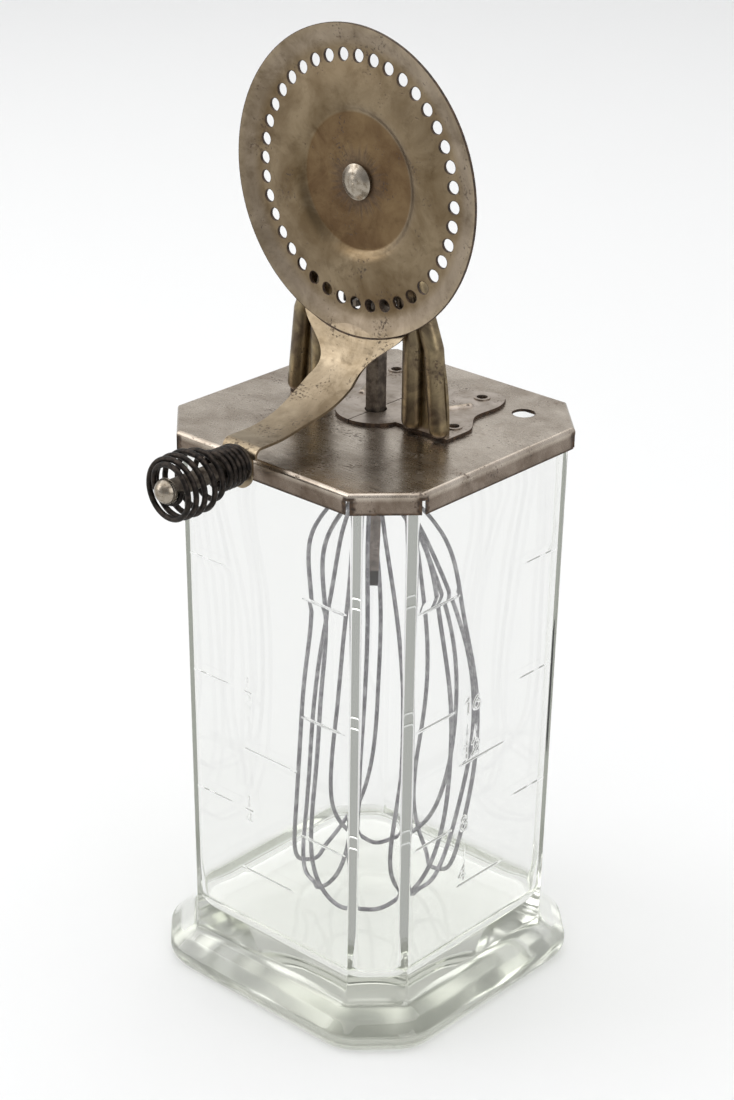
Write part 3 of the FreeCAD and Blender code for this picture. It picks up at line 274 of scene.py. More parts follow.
def plate_roughness(tree, spot, roughness, dirt):
    """Roughness of the plate, with wiping scratches, long one way and hair thin the other, and rougher by
    0.3 where each kind of dirt lies."""
    stretch = node(tree, "ShaderNodeMapping", {"Vector": spot, "Scale": (0.06, 1.0, 0.4),
                                               "Rotation": (0.0, 0.0, math.radians(24))}).outputs["Vector"]
    hair = node(tree, "ShaderNodeTexNoise",
                {"Vector": stretch, "Scale": per(SCRATCH_WIDTH), "Detail": 2.0}).outputs["Fac"]
    rough = node(tree, "ShaderNodeMapRange",
                 {"Value": hair, "From Min": 0.3, "From Max": 0.75,
                  "To Min": roughness - 0.05, "To Max": roughness + 0.07}).outputs[0]
    for layer in dirt:
        rough = node(tree, "ShaderNodeMath", {0: layer, 1: 0.3, 2: rough},
                     operation="MULTIPLY_ADD").outputs[0]
    return rough


def plate_relief(tree, spot, bare):
    """Normals of sheet that is slightly wavy from the press, and sunk where the steel is bare."""
    wave = node(tree, "ShaderNodeTexNoise",
                {"Vector": spot, "Scale": per(PRESS_WAVE), "Detail": 2.0}).outputs["Fac"]
    swell = node(tree, "ShaderNodeBump",
                 {"Height": wave, "Strength": 0.25, "Distance": 0.5 * MM}).outputs["Normal"]
    sunk = node(tree, "ShaderNodeMath", {0: 1.0, 1: bare}, operation="SUBTRACT").outputs[0]
    return node(tree, "ShaderNodeBump", {"Height": sunk, "Strength": 0.5, "Distance": 0.12 * MM,
                                         "Normal": swell}).outputs["Normal"]


def worn_plate(name, clean, toned, stain, mottle_mm, roughness, regions, rust, seed=(0.0, 0.0, 0.0)):
    """Nickel plate on pressed sheet steel, worn and stored damp: a soft metal sheen with brown toning in
    clouds, darker stains, fine pits with rust in them, and a few hairline scratches. Regions are masks that
    have two tones of their own, rust lists masks where the steel is bare and brown, and seed moves the
    pattern, so that no two pieces share it."""
    made, tree, out = new_material(name)
    place = node(tree, "ShaderNodeTexCoord").outputs["Object"]
    spot = node(tree, "ShaderNodeMapping", {"Vector": place, "Location": seed}).outputs["Vector"]
    cloud = node(tree, "ShaderNodeTexNoise", {"Vector": spot, "Scale": per(mottle_mm), "Detail": 6.0,
                                              "Roughness": 0.62, "Distortion": 0.6}).outputs["Fac"]
    colour = node(tree, "ShaderNodeValToRGB", {"Fac": cloud},
                  stops=[(0.36, rgb(clean)), (0.66, rgb(toned))]).outputs["Color"]
    colour = with_regions(tree, place, cloud, colour, regions, 0.34, 0.64)
    blot = stains(tree, spot)
    bare = bare_steel(tree, place, spot, rust)
    for where, dirt in ((blot, rgb(stain)), (bare, rust_colour(tree, spot))):
        colour = node(tree, "ShaderNodeMix", {"Factor": where, "A": colour, "B": dirt},
                      data_type="RGBA").outputs["Result"]
    metal = node(tree, "ShaderNodeMapRange", {"Value": bare, "To Min": 1.0, "To Max": 0.35}).outputs[0]
    shader = node(tree, "ShaderNodeBsdfPrincipled",
                  {"Base Color": colour, "Metallic": metal, "Normal": plate_relief(tree, spot, bare),
                   "Roughness": plate_roughness(tree, spot, roughness, (blot, bare))})
    tree.links.new(shader.outputs[0], out.inputs["Surface"])
    return made


def bright_nickel():
    """Nickel plated rivets, rubbed bright on their domes, with faint brown freckles."""
    ring_pitch, stud_face, face_soft = 2.6 * MM, 5.2 * MM, 0.4 * MM
    made, tree, out = new_material("bright_nickel_rivet")
    place = node(tree, "ShaderNodeTexCoord").outputs["Object"]
    freckle = node(tree, "ShaderNodeTexNoise", {"Vector": place, "Scale": per(1.6), "Detail": 6.0,
                                                "Roughness": 0.7}).outputs["Fac"]
    colour = node(tree, "ShaderNodeValToRGB", {"Fac": freckle},
                  stops=[(0.42, rgb("#A39A8D")), (0.6, rgb("#857A6B")),
                         (0.74, rgb("#55473A"))]).outputs["Color"]
    rough = node(tree, "ShaderNodeMapRange", {"Value": freckle, "From Min": 0.4, "From Max": 0.7,
                                              "To Min": 0.18, "To Max": 0.42}).outputs[0]
    # lathe rings about the wheel's axle show on the stud's head as fine circles
    away = axle_distance(tree, place)[0]
    turns = node(tree, "ShaderNodeMath", {0: away, 1: math.tau / ring_pitch}, operation="MULTIPLY").outputs[0]
    ring = node(tree, "ShaderNodeMath", {0: turns}, operation="SINE").outputs[0]
    close = within(tree, away, 0.0, stud_face, face_soft)
    circles = node(tree, "ShaderNodeMath", {0: ring, 1: close}, operation="MULTIPLY").outputs[0]
    turned = node(tree, "ShaderNodeBump",
                  {"Height": circles, "Strength": 0.35, "Distance": 0.12 * MM}).outputs["Normal"]
    dent = node(tree, "ShaderNodeBump",
                {"Height": freckle, "Strength": 0.15, "Distance": 0.1 * MM, "Normal": turned})
    shader = node(tree, "ShaderNodeBsdfPrincipled",
                  {"Base Color": colour, "Metallic": 1.0, "Roughness": rough,
                   "Normal": dent.outputs["Normal"]})
    tree.links.new(shader.outputs[0], out.inputs["Surface"])
    return made


def dark_steel(name, base, worn, size_mm, roughness, regions=()):
    """Bare mild steel gone brown-black with age, lighter where it rubs. Regions are masks that have two tones
    of their own."""
    made, tree, out = new_material(name)
    place = node(tree, "ShaderNodeTexCoord").outputs["Object"]
    cloud = node(tree, "ShaderNodeTexNoise", {"Vector": place, "Scale": per(size_mm), "Detail": 7.0,
                                              "Roughness": 0.65}).outputs["Fac"]
    colour = node(tree, "ShaderNodeValToRGB", {"Fac": cloud},
                  stops=[(0.42, rgb(base)), (0.7, rgb(worn))]).outputs["Color"]
    colour = with_regions(tree, place, cloud, colour, regions, 0.38, 0.66)
    rough = node(tree, "ShaderNodeMapRange", {"Value": cloud, "From Min": 0.35, "From Max": 0.7,
                                              "To Min": roughness, "To Max": roughness + 0.2}).outputs[0]
    grain = node(tree, "ShaderNodeTexNoise",
                 {"Vector": place, "Scale": per(0.6), "Detail": 3.0}).outputs["Fac"]
    skin = node(tree, "ShaderNodeBump", {"Height": grain, "Strength": 0.35, "Distance": 0.08 * MM})
    shader = node(tree, "ShaderNodeBsdfPrincipled",
                  {"Base Color": colour, "Metallic": 0.85, "Roughness": rough,
                   "Normal": skin.outputs["Normal"]})
    tree.links.new(shader.outputs[0], out.inputs["Surface"])
    return made


def dull_brass():
    """Turned brass bush, gone brown in the damp."""
    made, tree, out = new_material("dulled_turned_brass")
    place = node(tree, "ShaderNodeTexCoord").outputs["Object"]
    cloud = node(tree, "ShaderNodeTexNoise",
                 {"Vector": place, "Scale": per(3.0), "Detail": 5.0}).outputs["Fac"]
    colour = node(tree, "ShaderNodeValToRGB", {"Fac": cloud},
                  stops=[(0.4, rgb("#A88A4E")), (0.65, rgb("#6E552C"))]).outputs["Color"]
    shader = node(tree, "ShaderNodeBsdfPrincipled",
                  {"Base Color": colour, "Metallic": 1.0, "Roughness": 0.38})
    tree.links.new(shader.outputs[0], out.inputs["Surface"])
    return made


def pressed_glass():
    """Pressed soda glass with a little iron in it: clear through a wall, pale green along the thick
    edges, and faintly wavy from the mould. Lamps shine through it as through a clear pane."""
    mould_wave_mm = 22.0
    scuff_start, scuff_end, scuff_roughness = 0.1 * MM, 1.9 * MM, 0.12
    surfaces_crossed = 5.0
    made, tree, out = new_material("pressed_soda_glass")
    place = node(tree, "ShaderNodeTexCoord").outputs["Object"]
    wave = node(tree, "ShaderNodeTexNoise", {"Vector": place, "Scale": per(mould_wave_mm), "Detail": 1.0,
                                             "Roughness": 0.4}).outputs["Fac"]
    ripple = node(tree, "ShaderNodeBump", {"Height": wave, "Strength": 0.05, "Distance": 0.4 * MM})
    # the face it stands on is scuffed dull, and blurs what the thick foot mirrors
    height = node(tree, "ShaderNodeSeparateXYZ", {0: place}).outputs["Z"]
    scuffed = node(tree, "ShaderNodeMapRange",
                   {"Value": height, "From Min": scuff_start, "From Max": scuff_end,
                    "To Min": scuff_roughness, "To Max": 0.0})
    shader = node(tree, "ShaderNodeBsdfPrincipled",
                  {"Base Color": grey(1.0), "Roughness": scuffed.outputs[0], "IOR": 1.5,
                   "Transmission Weight": 1.0, "Normal": ripple.outputs["Normal"]})
    rays = node(tree, "ShaderNodeLightPath")
    # light that has crossed many surfaces goes straight on, so that the thick edges stay clear
    deep = node(tree, "ShaderNodeMath", {0: rays.outputs["Ray Depth"], 1: surfaces_crossed},
                operation="GREATER_THAN")
    either = node(tree, "ShaderNodeMath", {0: rays.outputs["Is Shadow Ray"], 1: deep.outputs[0]},
                  operation="MAXIMUM")
    clear = node(tree, "ShaderNodeBsdfTransparent", {"Color": (0.94, 0.95, 0.925, 1.0)})
    mixed = node(tree, "ShaderNodeMixShader",
                 {"Fac": either.outputs[0], 1: shader.outputs[0], 2: clear.outputs[0]})
    tree.links.new(mixed.outputs[0], out.inputs["Surface"])
    tint = node(tree, "ShaderNodeVolumeAbsorption", {"Color": (0.888, 0.892, 0.868, 1.0), "Density": 40.0})
    tree.links.new(tint.outputs[0], out.inputs["Volume"])
    return made


# the lid: its upright folded skirt is painted darker than its top, painted shade; its slots and lower edge
# are rusty
LID_PLATE = worn_plate(
    "worn_nickel_plate_lid_painted_shade", "#BDB2A5", "#95887A", "#6A5847", mottle_mm=18.0, roughness=0.27,
    regions=((height_below(LID_HIGH[2] - 2.4 * MM, 1.2 * MM), "#93867A", "#5E5044"),),
    rust=(lid_corners, height_below(LID_LOW[2] + 0.3 * MM, 0.5 * MM)))
# the frame: its flat foot plates are painted paler than its upright legs, painted light and painted shade,
# with a rusty line where they lie on the lid
FRAME_PLATE = worn_plate(
    "worn_nickel_plate_frame_painted_light_and_shade", "#938467", "#5F5244", "#3A2E25", mottle_mm=7.0, roughness=0.36,
    regions=((height_below(LID_HIGH[2] + 1.3 * MM, 1.2 * MM), "#B5AAA0", "#8F8376"),),
    rust=(height_below(LID_HIGH[2] + 0.9 * MM, 0.06 * MM),),
    seed=(0.11, 0.07, 0.03))
# the wheel: a browner tone about its axle, a paler ring outside its holes that is painted sheen on the
# flange,
# and paler tones on the arm past its rim, painted light on its upward face
WHEEL_PLATE = worn_plate(
    "worn_nickel_plate_wheel_painted_light", "#8A7A62", "#685740", "#43331F", mottle_mm=13.0, roughness=0.33,
    regions=((wheel_ring(38.5, 60.0, 2.5), "#9B8D7B", "#786A58"),
             (wheel_ring(0.0, 18.6, 0.6), "#7C674B", "#5F4A34"),
             (wheel_ring(43.4, 1000.0, 3.0), "#A5967F", "#7E6F59")),
    rust=(rim_and_hole_edges, stud_grime),
    seed=(0.31, 0.17, 0.23))
RIVET = bright_nickel()
# the shaft: paler below the lid, and nearly black at the end of its tongue
SHAFT_STEEL = dark_steel(
    "browned_mild_steel", "#4A423B", "#857B6E", size_mm=2.5, roughness=0.42,
    regions=((height_below(LID_HIGH[2] - 5 * MM, MM), "#948880", "#6F645C"),
             (height_below(TONGUE_END + 4.5 * MM, 0.5 * MM), "#3A3430", "#241F1C")))
SPRING_WIRE = dark_steel("blackened_spring_wire", "#1C1917", "#4A413A", size_mm=1.6, roughness=0.4)
WHISK_WIRE = dark_steel("tinned_steel_wire", "#747276", "#B5B3B6", size_mm=3.0, roughness=0.34)
BRASS = dull_brass()
GLASS = pressed_glass()

paint(LID_PLATE, "lid")
paint(FRAME_PLATE, "frame_left", "frame_right", "foot_eyelets", "bearing_bridge")
paint(WHEEL_PLATE, "crank_wheel")
paint(RIVET, "wheel_stud", "handle_pin", "rear_washer", "bridge_rivets")
paint(SHAFT_STEEL, "drive_shaft", "pinion", "shaft_collar", "wheel_washer", "grip_washer", "grip_sleeve")
paint(SPRING_WIRE, "grip_coil")
paint(WHISK_WIRE, *(name for name in frame["nodes"] if name.startswith("whisk_")))
paint(BRASS, "lower_bush")
paint(GLASS, "glass_jar")


# ---------------------------------------------------------------- meshes
def closed_loft(name, rows):
    """A closed mesh through rings of points, one a row, each joined to the next and its own end to its
    start; the first and last rings shrink to a point, and a fan closes each of them."""
    count, around = rows.shape[:2]
    ring = np.arange(around)
    after = (ring + 1) % around
    base = np.arange(count - 1)[:, None] * around
    quads = np.stack([base + ring, base + after, base + around + after, base + around + ring], axis=-1)
    first, last = count * around, count * around + 1
    top = (count - 1) * around
    fan_low = np.stack([after, ring, np.full(around, first)], axis=-1)
    fan_high = np.stack([top + ring, top + after, np.full(around, last)], axis=-1)
    points = np.concatenate([rows.reshape(-1, 3), rows[:1].mean(axis=1), rows[-1:].mean(axis=1)])
    faces = quads.reshape(-1, 4).tolist() + fan_low.tolist() + fan_high.tolist()
    made = bpy.data.meshes.new(name)
    made.from_pydata(points.tolist(), [], faces)
    made.update()
    return made


def grid_mesh(name, points):
    """An open sheet through a grid of points of shape (rows, columns, 3)."""
    rows, columns = points.shape[:2]
    a, b = np.meshgrid(np.arange(rows - 1), np.arange(columns - 1), indexing="ij")
    corner = a * columns + b
    faces = np.stack([corner, corner + 1, corner + columns + 1, corner + columns], axis=-1)
    made = bpy.data.meshes.new(name)
    made.from_pydata(points.reshape(-1, 3).tolist(), [], faces.reshape(-1, 4).tolist())
    made.update()
    return made


def add_object(name, mesh, material):
    """Puts a mesh in the scene with its material and smooth faces."""
    made = bpy.data.objects.new(name, mesh)
    bpy.context.scene.collection.objects.link(made)
    mesh.materials.append(material)
    mesh.shade_smooth()
    return made


# ---------------------------------------------------------------- glass jar
# outside, where a half is half the width over two opposite flats
JAR_HEIGHT = JAR_HIGH[2]
FOOT_HALF = (JAR_HIGH[0] - JAR_LOW[0]) / 2
WAIST_HALF = 42.7 * MM
TOP_HALF = 44.2 * MM
# the foot's edge: a small toe, an upright lip, a sloped shoulder, and the ledge where the walls begin
TOE = 1.8 * MM
TOE_HEIGHT = 2.8 * MM
LIP_HEIGHT = 5.4 * MM
SHOULDER = 3.2 * MM
LEDGE_HEIGHT = 11.6 * MM
# the base: a shallow round push-up, and a ring beside it and beside the foot's edge
PUSH_UP_HALF = 31.0 * MM
PUSH_UP_HEIGHT = 1.5 * MM
BASE_RING = 4.0 * MM
PUSH_UP_ROUNDNESS = 0.8
# inside
GLASS_WALL = 3.7 * MM
CORNER_WALL = 2.6 * MM
FLOOR_HEIGHT = 17.0 * MM
FLAT_FLOOR_HALF = 0.6 * WAIST_HALF
# cut corners of the octagon, and how round its edges are
BODY_CHAMFER = 12.2 * MM
FOOT_CHAMFER = 16.0 * MM
EDGE_ROUNDING = 0.8 * MM
FOOT_ROUNDING = 15.0 * MM
INNER_ROUNDING = 0.7 * MM
FLOOR_ROUNDING = 8.0 * MM
# the floor's rounding runs out this far above it
FLOOR_REACH = 20.0 * MM
# chamfer of a regular octagon with a half width of 1
REGULAR_CHAMFER = 2 - math.sqrt(2)
EIGHTH = math.tan(math.pi / 8)

# graduation lines in millimetres from the lowest up: height, and the two ends of each stroke along the face
LEVELS_RIGHT = (41.3, 61.9, 81.8, 100.1, 136.5)
LEVELS_FRONT = (40.5, 60.8, 80.8, 99.4, 136.3)
EDGE_MARKS = ((-29.0, -14.5), (14.5, 28.0))
MIDDLE_MARKS = ((-9.5, 9.5),)
MIDDLE_LEVELS = (0, 2)
# heights in millimetres between which numbers stand
NUMBER_BANDS = ((42.6, 47.6), (57.0, 66.0), (83.1, 88.1), (95.0, 104.6))
NUMBER_START = -9.0 * MM
DIGIT_HEIGHT = 4.6 * MM
FRACTION_HEIGHT = 3.4 * MM
FRACTION_GAP = 1.1 * MM
FRACTION_BAR = (NUMBER_START - 0.4 * MM, NUMBER_START + 2.6 * MM)
# place of a number's foot over its line: above a middle stroke, or centred between edge strokes
ABOVE_LINE = 1.5 * MM
ON_LINE = -DIGIT_HEIGHT / 2
# digits stand this far apart, in their own height
DIGIT_PITCH = 0.78
DIGIT_STROKE = 0.27 * MM
DIGIT_FLAT = 0.35
BAR_THICK = 0.06 * MM
BAR_SOFT = 0.34 * MM
# height that the graduations stand proud of the glass
MARK_RISE = 0.26 * MM


def smooth(share):
    """Smoothstep of a share, held between 0 and 1."""
    share = np.clip(share, 0.0, 1.0)
    return share * share * (3 - 2 * share)


def between(start, end, share):
    """From start at a share of 0 to end at a share of 1."""
    return start + (end - start) * share


def to_segment(u, v, start, end):
    """Distance from points (u, v) to a straight stroke."""
    run = np.subtract(end, start)
    share = np.clip(((u - start[0]) * run[0] + (v - start[1]) * run[1]) / (run @ run), 0, 1)
    return np.hypot(u - start[0] - share * run[0], v - start[1] - share * run[1])


def to_arc(u, v, centre, radius, first, last):
    """Distance from points (u, v) to an arc stroke that turns from first to last, in degrees."""
    sweep = last - first
    turned = (np.degrees(np.arctan2(v - centre[1], u - centre[0])) - first) % 360
    nearest_end = np.where(turned > (sweep + 360) / 2, 0, sweep)
    angle = np.radians(np.where(turned > sweep, nearest_end, turned) + first)
    return np.hypot(u - centre[0] - radius * np.cos(angle), v - centre[1] - radius * np.sin(angle))


def to_digit(digit, u, v):
    """Distance to the strokes of a plain digit one unit high that starts at the origin."""
    if digit == "1":
        strokes = [to_segment(u, v, (0.3, 0), (0.3, 1)), to_segment(u, v, (0.08, 0.8), (0.3, 1))]
    elif digit == "2":
        strokes = [to_arc(u, v, (0.3, 0.72), 0.28, -35, 165), to_segment(u, v, (0.53, 0.56), (0.03, 0)),
                   to_segment(u, v, (0.03, 0), (0.6, 0))]
    elif digit == "4":
        strokes = [to_segment(u, v, (0.45, 0), (0.45, 1)), to_segment(u, v, (0.45, 1), (0, 0.3)),
                   to_segment(u, v, (0, 0.3), (0.62, 0.3))]
    elif digit == "6":
        strokes = [to_arc(u, v, (0.3, 0.28), 0.28, 0, 360), to_arc(u, v, (0.62, 0.3), 0.6, 110, 180)]
    else:
        strokes = [to_arc(u, v, (0.3, 0.26), 0.26, 0, 360), to_arc(u, v, (0.3, 0.76), 0.22, 0, 360)]
    return np.minimum.reduce(strokes)


def raised_number(text, u, z, base, height):
    """Rounded strokes of a number: full height out to a third of the stroke's width from its line, and from
    there falling to nothing over one width."""
    rise = np.zeros_like(u)
    for place, digit in enumerate(text):
        left = NUMBER_START + place * DIGIT_PITCH * height
        away = to_digit(digit, (u - left) / height, (z - base) / height) * height
        rise = np.maximum(rise, smooth(1 + DIGIT_FLAT - away / DIGIT_STROKE))
    return rise


def raised_bar(u, z, level, first, last):
    """A straight graduation line with soft edges."""
    across = smooth((BAR_THICK + BAR_SOFT - np.abs(z - level)) / BAR_SOFT)
    ends = smooth((u - first) / BAR_SOFT + 0.5) * smooth((last - u) / BAR_SOFT + 0.5)
    return across * ends


def face_marks(u, z, levels):
    """Short strokes at both edges of a face, and one long stroke in the middle at the middle levels."""
    rise = np.zeros_like(u)
    for number, level in enumerate(levels):
        for first, last in (MIDDLE_MARKS if number in MIDDLE_LEVELS else EDGE_MARKS):
            rise = np.maximum(rise, raised_bar(u, z, level * MM, first * MM, last * MM))
    return rise


def right_marks(u, z):
    """Graduations of the right face: strokes, and a whole number at each of the lower four."""
    rise = face_marks(u, z, LEVELS_RIGHT)
    numbers = (("4", ABOVE_LINE), ("8", ON_LINE), ("12", ABOVE_LINE), ("16", ON_LINE))
    for level, (text, lift) in zip(LEVELS_RIGHT, numbers):
        rise = np.maximum(rise, raised_number(text, u, z, level * MM + lift, DIGIT_HEIGHT))
    return rise


def front_marks(u, z):
    """Graduations of the front face: strokes, and two fractions that stand upright, each a small number, a
    bar and another small number."""
    rise = face_marks(u, z, LEVELS_FRONT)
    for below, level in (("4", 1), ("2", 3)):
        bar = LEVELS_FRONT[level] * MM
        for text, base in (("1", bar + FRACTION_GAP), (below, bar - FRACTION_GAP - FRACTION_HEIGHT)):
            rise = np.maximum(rise, raised_number(text, u, z, base, FRACTION_HEIGHT))
        rise = np.maximum(rise, raised_bar(u, z, bar, *FRACTION_BAR))
    return rise


def round_corners(corners, steps=7):
    """A line through corners (x, y, radius), with each inner corner replaced by an arc tangent to both its
    runs: the arc's centre lies on the corner's bisector, radius / sin(half angle) from the corner."""
    table = np.array(corners)
    points, radii = table[:, :2], table[1:-1, 2]
    line = [points[:1]]
    for before, corner, after, radius in zip(points, points[1:], points[2:], radii):
        back = (before - corner) / np.linalg.norm(before - corner)
        on = (after - corner) / np.linalg.norm(after - corner)
        half = math.acos(np.clip(back @ on, -1, 1)) / 2
        centre = corner + (back + on) / np.linalg.norm(back + on) * radius / math.sin(half)
        first = corner + back * radius / math.tan(half) - centre
        last = corner + on * radius / math.tan(half) - centre
        share = np.linspace(0, 1, steps)[:, None]
        sweep = math.pi - 2 * half
        arc = np.sin((1 - share) * sweep) * first + np.sin(share * sweep) * last
        line.append(centre + arc / math.sin(sweep))
    line.append(points[-1:])
    return np.concatenate(line)


def flat_places(*inner):
    """Places along a flat, from -1 to 1, with a close pair of columns at either end, so that the smooth faces
    bend at the rounded edge alone."""
    edge = 0.985
    return np.concatenate([[-1, -edge], *inner, [edge, 1]])


def side_columns(share_lists, arc_steps=6):
    """Columns of a rounded octagon: for each of its eight sides the places along the flat, -1 to 1, and then
    the turn of the arc that leads to the next side. Returns the side, place and turn of each column."""
    side, place, turn = [], [], []
    arc = np.arange(1, arc_steps) / arc_steps * math.pi / 4
    for number, shares in enumerate(share_lists):
        side.append(np.full(len(shares) + len(arc), number))
        place.append(np.concatenate([shares, np.ones(len(arc))]))
        turn.append(np.concatenate([np.zeros(len(shares)), arc]))
    return np.concatenate(side), np.concatenate(place), np.concatenate(turn)


def octagon_rows(columns, half, chamfer, rounding):
    """Rounded octagons, one a row: a point is its side's normal times the distance to the arc's centre, plus
    its place along the side, plus the corner's radius in the direction that the column faces."""
    side, place, turn = columns
    facing = -math.pi / 2 + side * math.pi / 4
    normal = np.stack([np.cos(facing), np.sin(facing)], axis=-1)
    along = np.stack([-np.sin(facing), np.cos(facing)], axis=-1)
    out = np.stack([np.cos(facing + turn), np.sin(facing + turn)], axis=-1)
    half, chamfer, rounding = (value[:, None] for value in (half, chamfer, rounding))
    cut_side = side % 2 == 1
    distance = np.where(cut_side, (2 * half - chamfer) / math.sqrt(2), half) - rounding
    reach = np.where(cut_side, chamfer / math.sqrt(2), half - chamfer) - rounding * EIGHTH
    plan = normal * distance[..., None] + along * (place * reach)[..., None] + out * rounding[..., None]
    return plan, normal


def wall_heights(low, high):
    """Rows up the outer wall: a coarse step all the way, and a fine one where graduations stand."""
    coarse_step, fine_step, least_step = 6 * MM, 0.25 * MM, 0.07 * MM
    rows = [np.arange(low, high, coarse_step), [high]]
    for first, last in NUMBER_BANDS:
        rows.append(np.arange(first * MM, last * MM, fine_step))
    for level in LEVELS_RIGHT + LEVELS_FRONT:
        rows.append((level + np.linspace(-0.5, 0.5, 8)) * MM)
    rows = np.unique(np.concatenate(rows))
    return rows[np.concatenate([[True], np.diff(rows) > least_step])]


def jar_section():
    """Half widths and heights along one line that runs from the middle of the base out round the foot, up
    the outside, over the rim, down the inside and back to the middle of the floor. Also tells which rows are
    the base's, the outer wall's, the rim's and the inside's."""
    inner_steps, dome_steps, floor_steps, toe_steps = 14, 12, 8, 4
    line = round_corners((
        (PUSH_UP_HALF + BASE_RING, 0.0, 0.0),
        (FOOT_HALF - TOE, 0.0, 1.3 * MM),
        (FOOT_HALF, TOE_HEIGHT, 3.0 * MM),
        (FOOT_HALF, LIP_HEIGHT, 2.8 * MM),
        (FOOT_HALF - SHOULDER, LIP_HEIGHT + SHOULDER, 6.0 * MM),
        (WAIST_HALF, LEDGE_HEIGHT, 3.4 * MM),
        (TOP_HALF, JAR_HEIGHT, 1.2 * MM),
        (TOP_HALF - GLASS_WALL, JAR_HEIGHT, 1.2 * MM),
        (WAIST_HALF - GLASS_WALL, FLOOR_HEIGHT, 6.0 * MM),
        (FLAT_FLOOR_HALF, FLOOR_HEIGHT, 0.0)))
    # the straight runs of the outer and the inner wall get rows of their own
    climb = np.flatnonzero(np.diff(line[:, 1]) > 0.5 * JAR_HEIGHT)[0]
    low, high = line[climb], line[climb + 1]
    heights = wall_heights(low[1], high[1])[1:-1]
    widths = np.interp(heights, (low[1], high[1]), (low[0], high[0]))
    line = np.concatenate([line[:climb + 1], np.stack([widths, heights], axis=-1), line[climb + 1:]])
    drop = np.flatnonzero(np.diff(line[:, 1]) < -0.5 * JAR_HEIGHT)[0]
    inner_wall = np.linspace(line[drop], line[drop + 1], inner_steps)[1:-1]
    line = np.concatenate([line[:drop + 1], inner_wall, line[drop + 1:]])
    # the base is pushed up in a shallow dome, and the floor closes in the middle
    dome = np.linspace(0.02, 1, dome_steps)[:, None]
    push_up = np.concatenate([dome * PUSH_UP_HALF, PUSH_UP_HEIGHT * (1 - dome ** 2) ** 2], axis=1)
    shrink = np.linspace(0.8, 0.04, floor_steps)[:, None]
    floor = np.concatenate([shrink * FLAT_FLOOR_HALF, np.full_like(shrink, FLOOR_HEIGHT)], axis=1)
    half, height = np.concatenate([push_up, line, floor]).T
    row = np.arange(len(half))
    wall_start = len(push_up) + climb
    wall_end = wall_start + len(heights)
    rim_end = len(push_up) + drop
    # the base goes on to the first rows of the toe's arc
    rows = {"base": row < len(push_up) + toe_steps, "wall": (row > wall_start) & (row <= wall_end),
            "rim": (row > wall_end) & (row <= rim_end), "inside": row > rim_end}
    return half, height, rows


def jar_corners(half, height, rows):
    """Chamfer and rounding of each row's corners: crisp narrow ones on the body, wide soft ones round the
    foot, thinner glass at the inner corners, and a base that turns from round to the foot's octagon."""
    below_walls = height < 1.5 * LEDGE_HEIGHT
    foot = np.clip((half - WAIST_HALF) / (FOOT_HALF - WAIST_HALF), 0, 1) * below_walls
    chamfer = between(BODY_CHAMFER, FOOT_CHAMFER, foot)
    rounding = between(EDGE_ROUNDING, FOOT_ROUNDING, np.sqrt(foot))
    inner_chamfer = BODY_CHAMFER - 2 * GLASS_WALL + math.sqrt(2) * CORNER_WALL
    over_rim = np.interp(half, (TOP_HALF - GLASS_WALL, TOP_HALF), (inner_chamfer, BODY_CHAMFER))
    chamfer = np.where(rows["rim"], over_rim, chamfer)
    closing = np.clip(half / (WAIST_HALF - GLASS_WALL), 0, 1)
    deep = smooth(1 - np.clip((height - FLOOR_HEIGHT) / FLOOR_REACH, 0, 1))
    chamfer = np.where(rows["inside"], inner_chamfer * closing, chamfer)
    rounding = np.where(rows["inside"], between(INNER_ROUNDING, FLOOR_ROUNDING, deep) * closing, rounding)
    squared = smooth((half - PUSH_UP_HALF) / (FOOT_HALF - PUSH_UP_HALF - BASE_RING))
    base_chamfer = half * between(REGULAR_CHAMFER, FOOT_CHAMFER / FOOT_HALF, squared)
    chamfer = np.where(rows["base"], base_chamfer, chamfer)
    rounding = np.where(rows["base"], between(PUSH_UP_ROUNDNESS * half, FOOT_ROUNDING, squared), rounding)
    return chamfer, rounding


def make_jar():
    """Pressed glass jar: rounded octagons stacked along its section, with the graduations pushed outwards on
    the front and the right face."""
    half, height, rows = jar_section()
    chamfer, rounding = jar_corners(half, height, rows)
    # the marked faces have more columns, and most of them where the numbers stand
    plain = flat_places(np.linspace(-0.94, 0.94, 9))
    marked = flat_places(np.linspace(-0.96, -0.33, 16), np.linspace(-0.31, -0.03, 40),
                         np.linspace(0.0, 0.96, 22))
    cut = np.array([-1, -0.9, -0.45, 0, 0.45, 0.9, 1])
    columns = side_columns([marked, cut, marked, cut, plain, cut, plain, cut])
    plan, normal = octagon_rows(columns, half, chamfer, rounding)
    upright = np.broadcast_to(height[:, None, None], plan.shape[:2] + (1,))
    points = np.concatenate([plan, upright], axis=-1)
    side = columns[0]
    rise = np.where(side == 0, front_marks(points[..., 0], points[..., 2]), 0.0)
    rise = rise + np.where(side == 2, right_marks(points[..., 1], points[..., 2]), 0.0)
    points[..., :2] += normal * (rise * rows["wall"][:, None])[..., None] * MARK_RISE
    jar = add_object("glass_jar_pressed", closed_loft("glass_jar_pressed", points), GLASS)
    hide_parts("glass_jar")
    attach(jar, "jar")


make_jar()


# ---------------------------------------------------------------- camera
CAMERA_PLACE = Vector((0.4412, -0.4961, 0.4359))
CAMERA_AIM = Vector((-0.0013, -0.0011, 0.1317))
CAMERA_ROLL = math.radians(0.77)
CAMERA_AZIMUTH = math.atan2(CAMERA_PLACE.x - CAMERA_AIM.x, CAMERA_AIM.y - CAMERA_PLACE.y)
# focal length for a sensor whose 36 mm lie along the frame's height
CAMERA_LENS = 83.18
CAMERA_SENSOR = 36.0


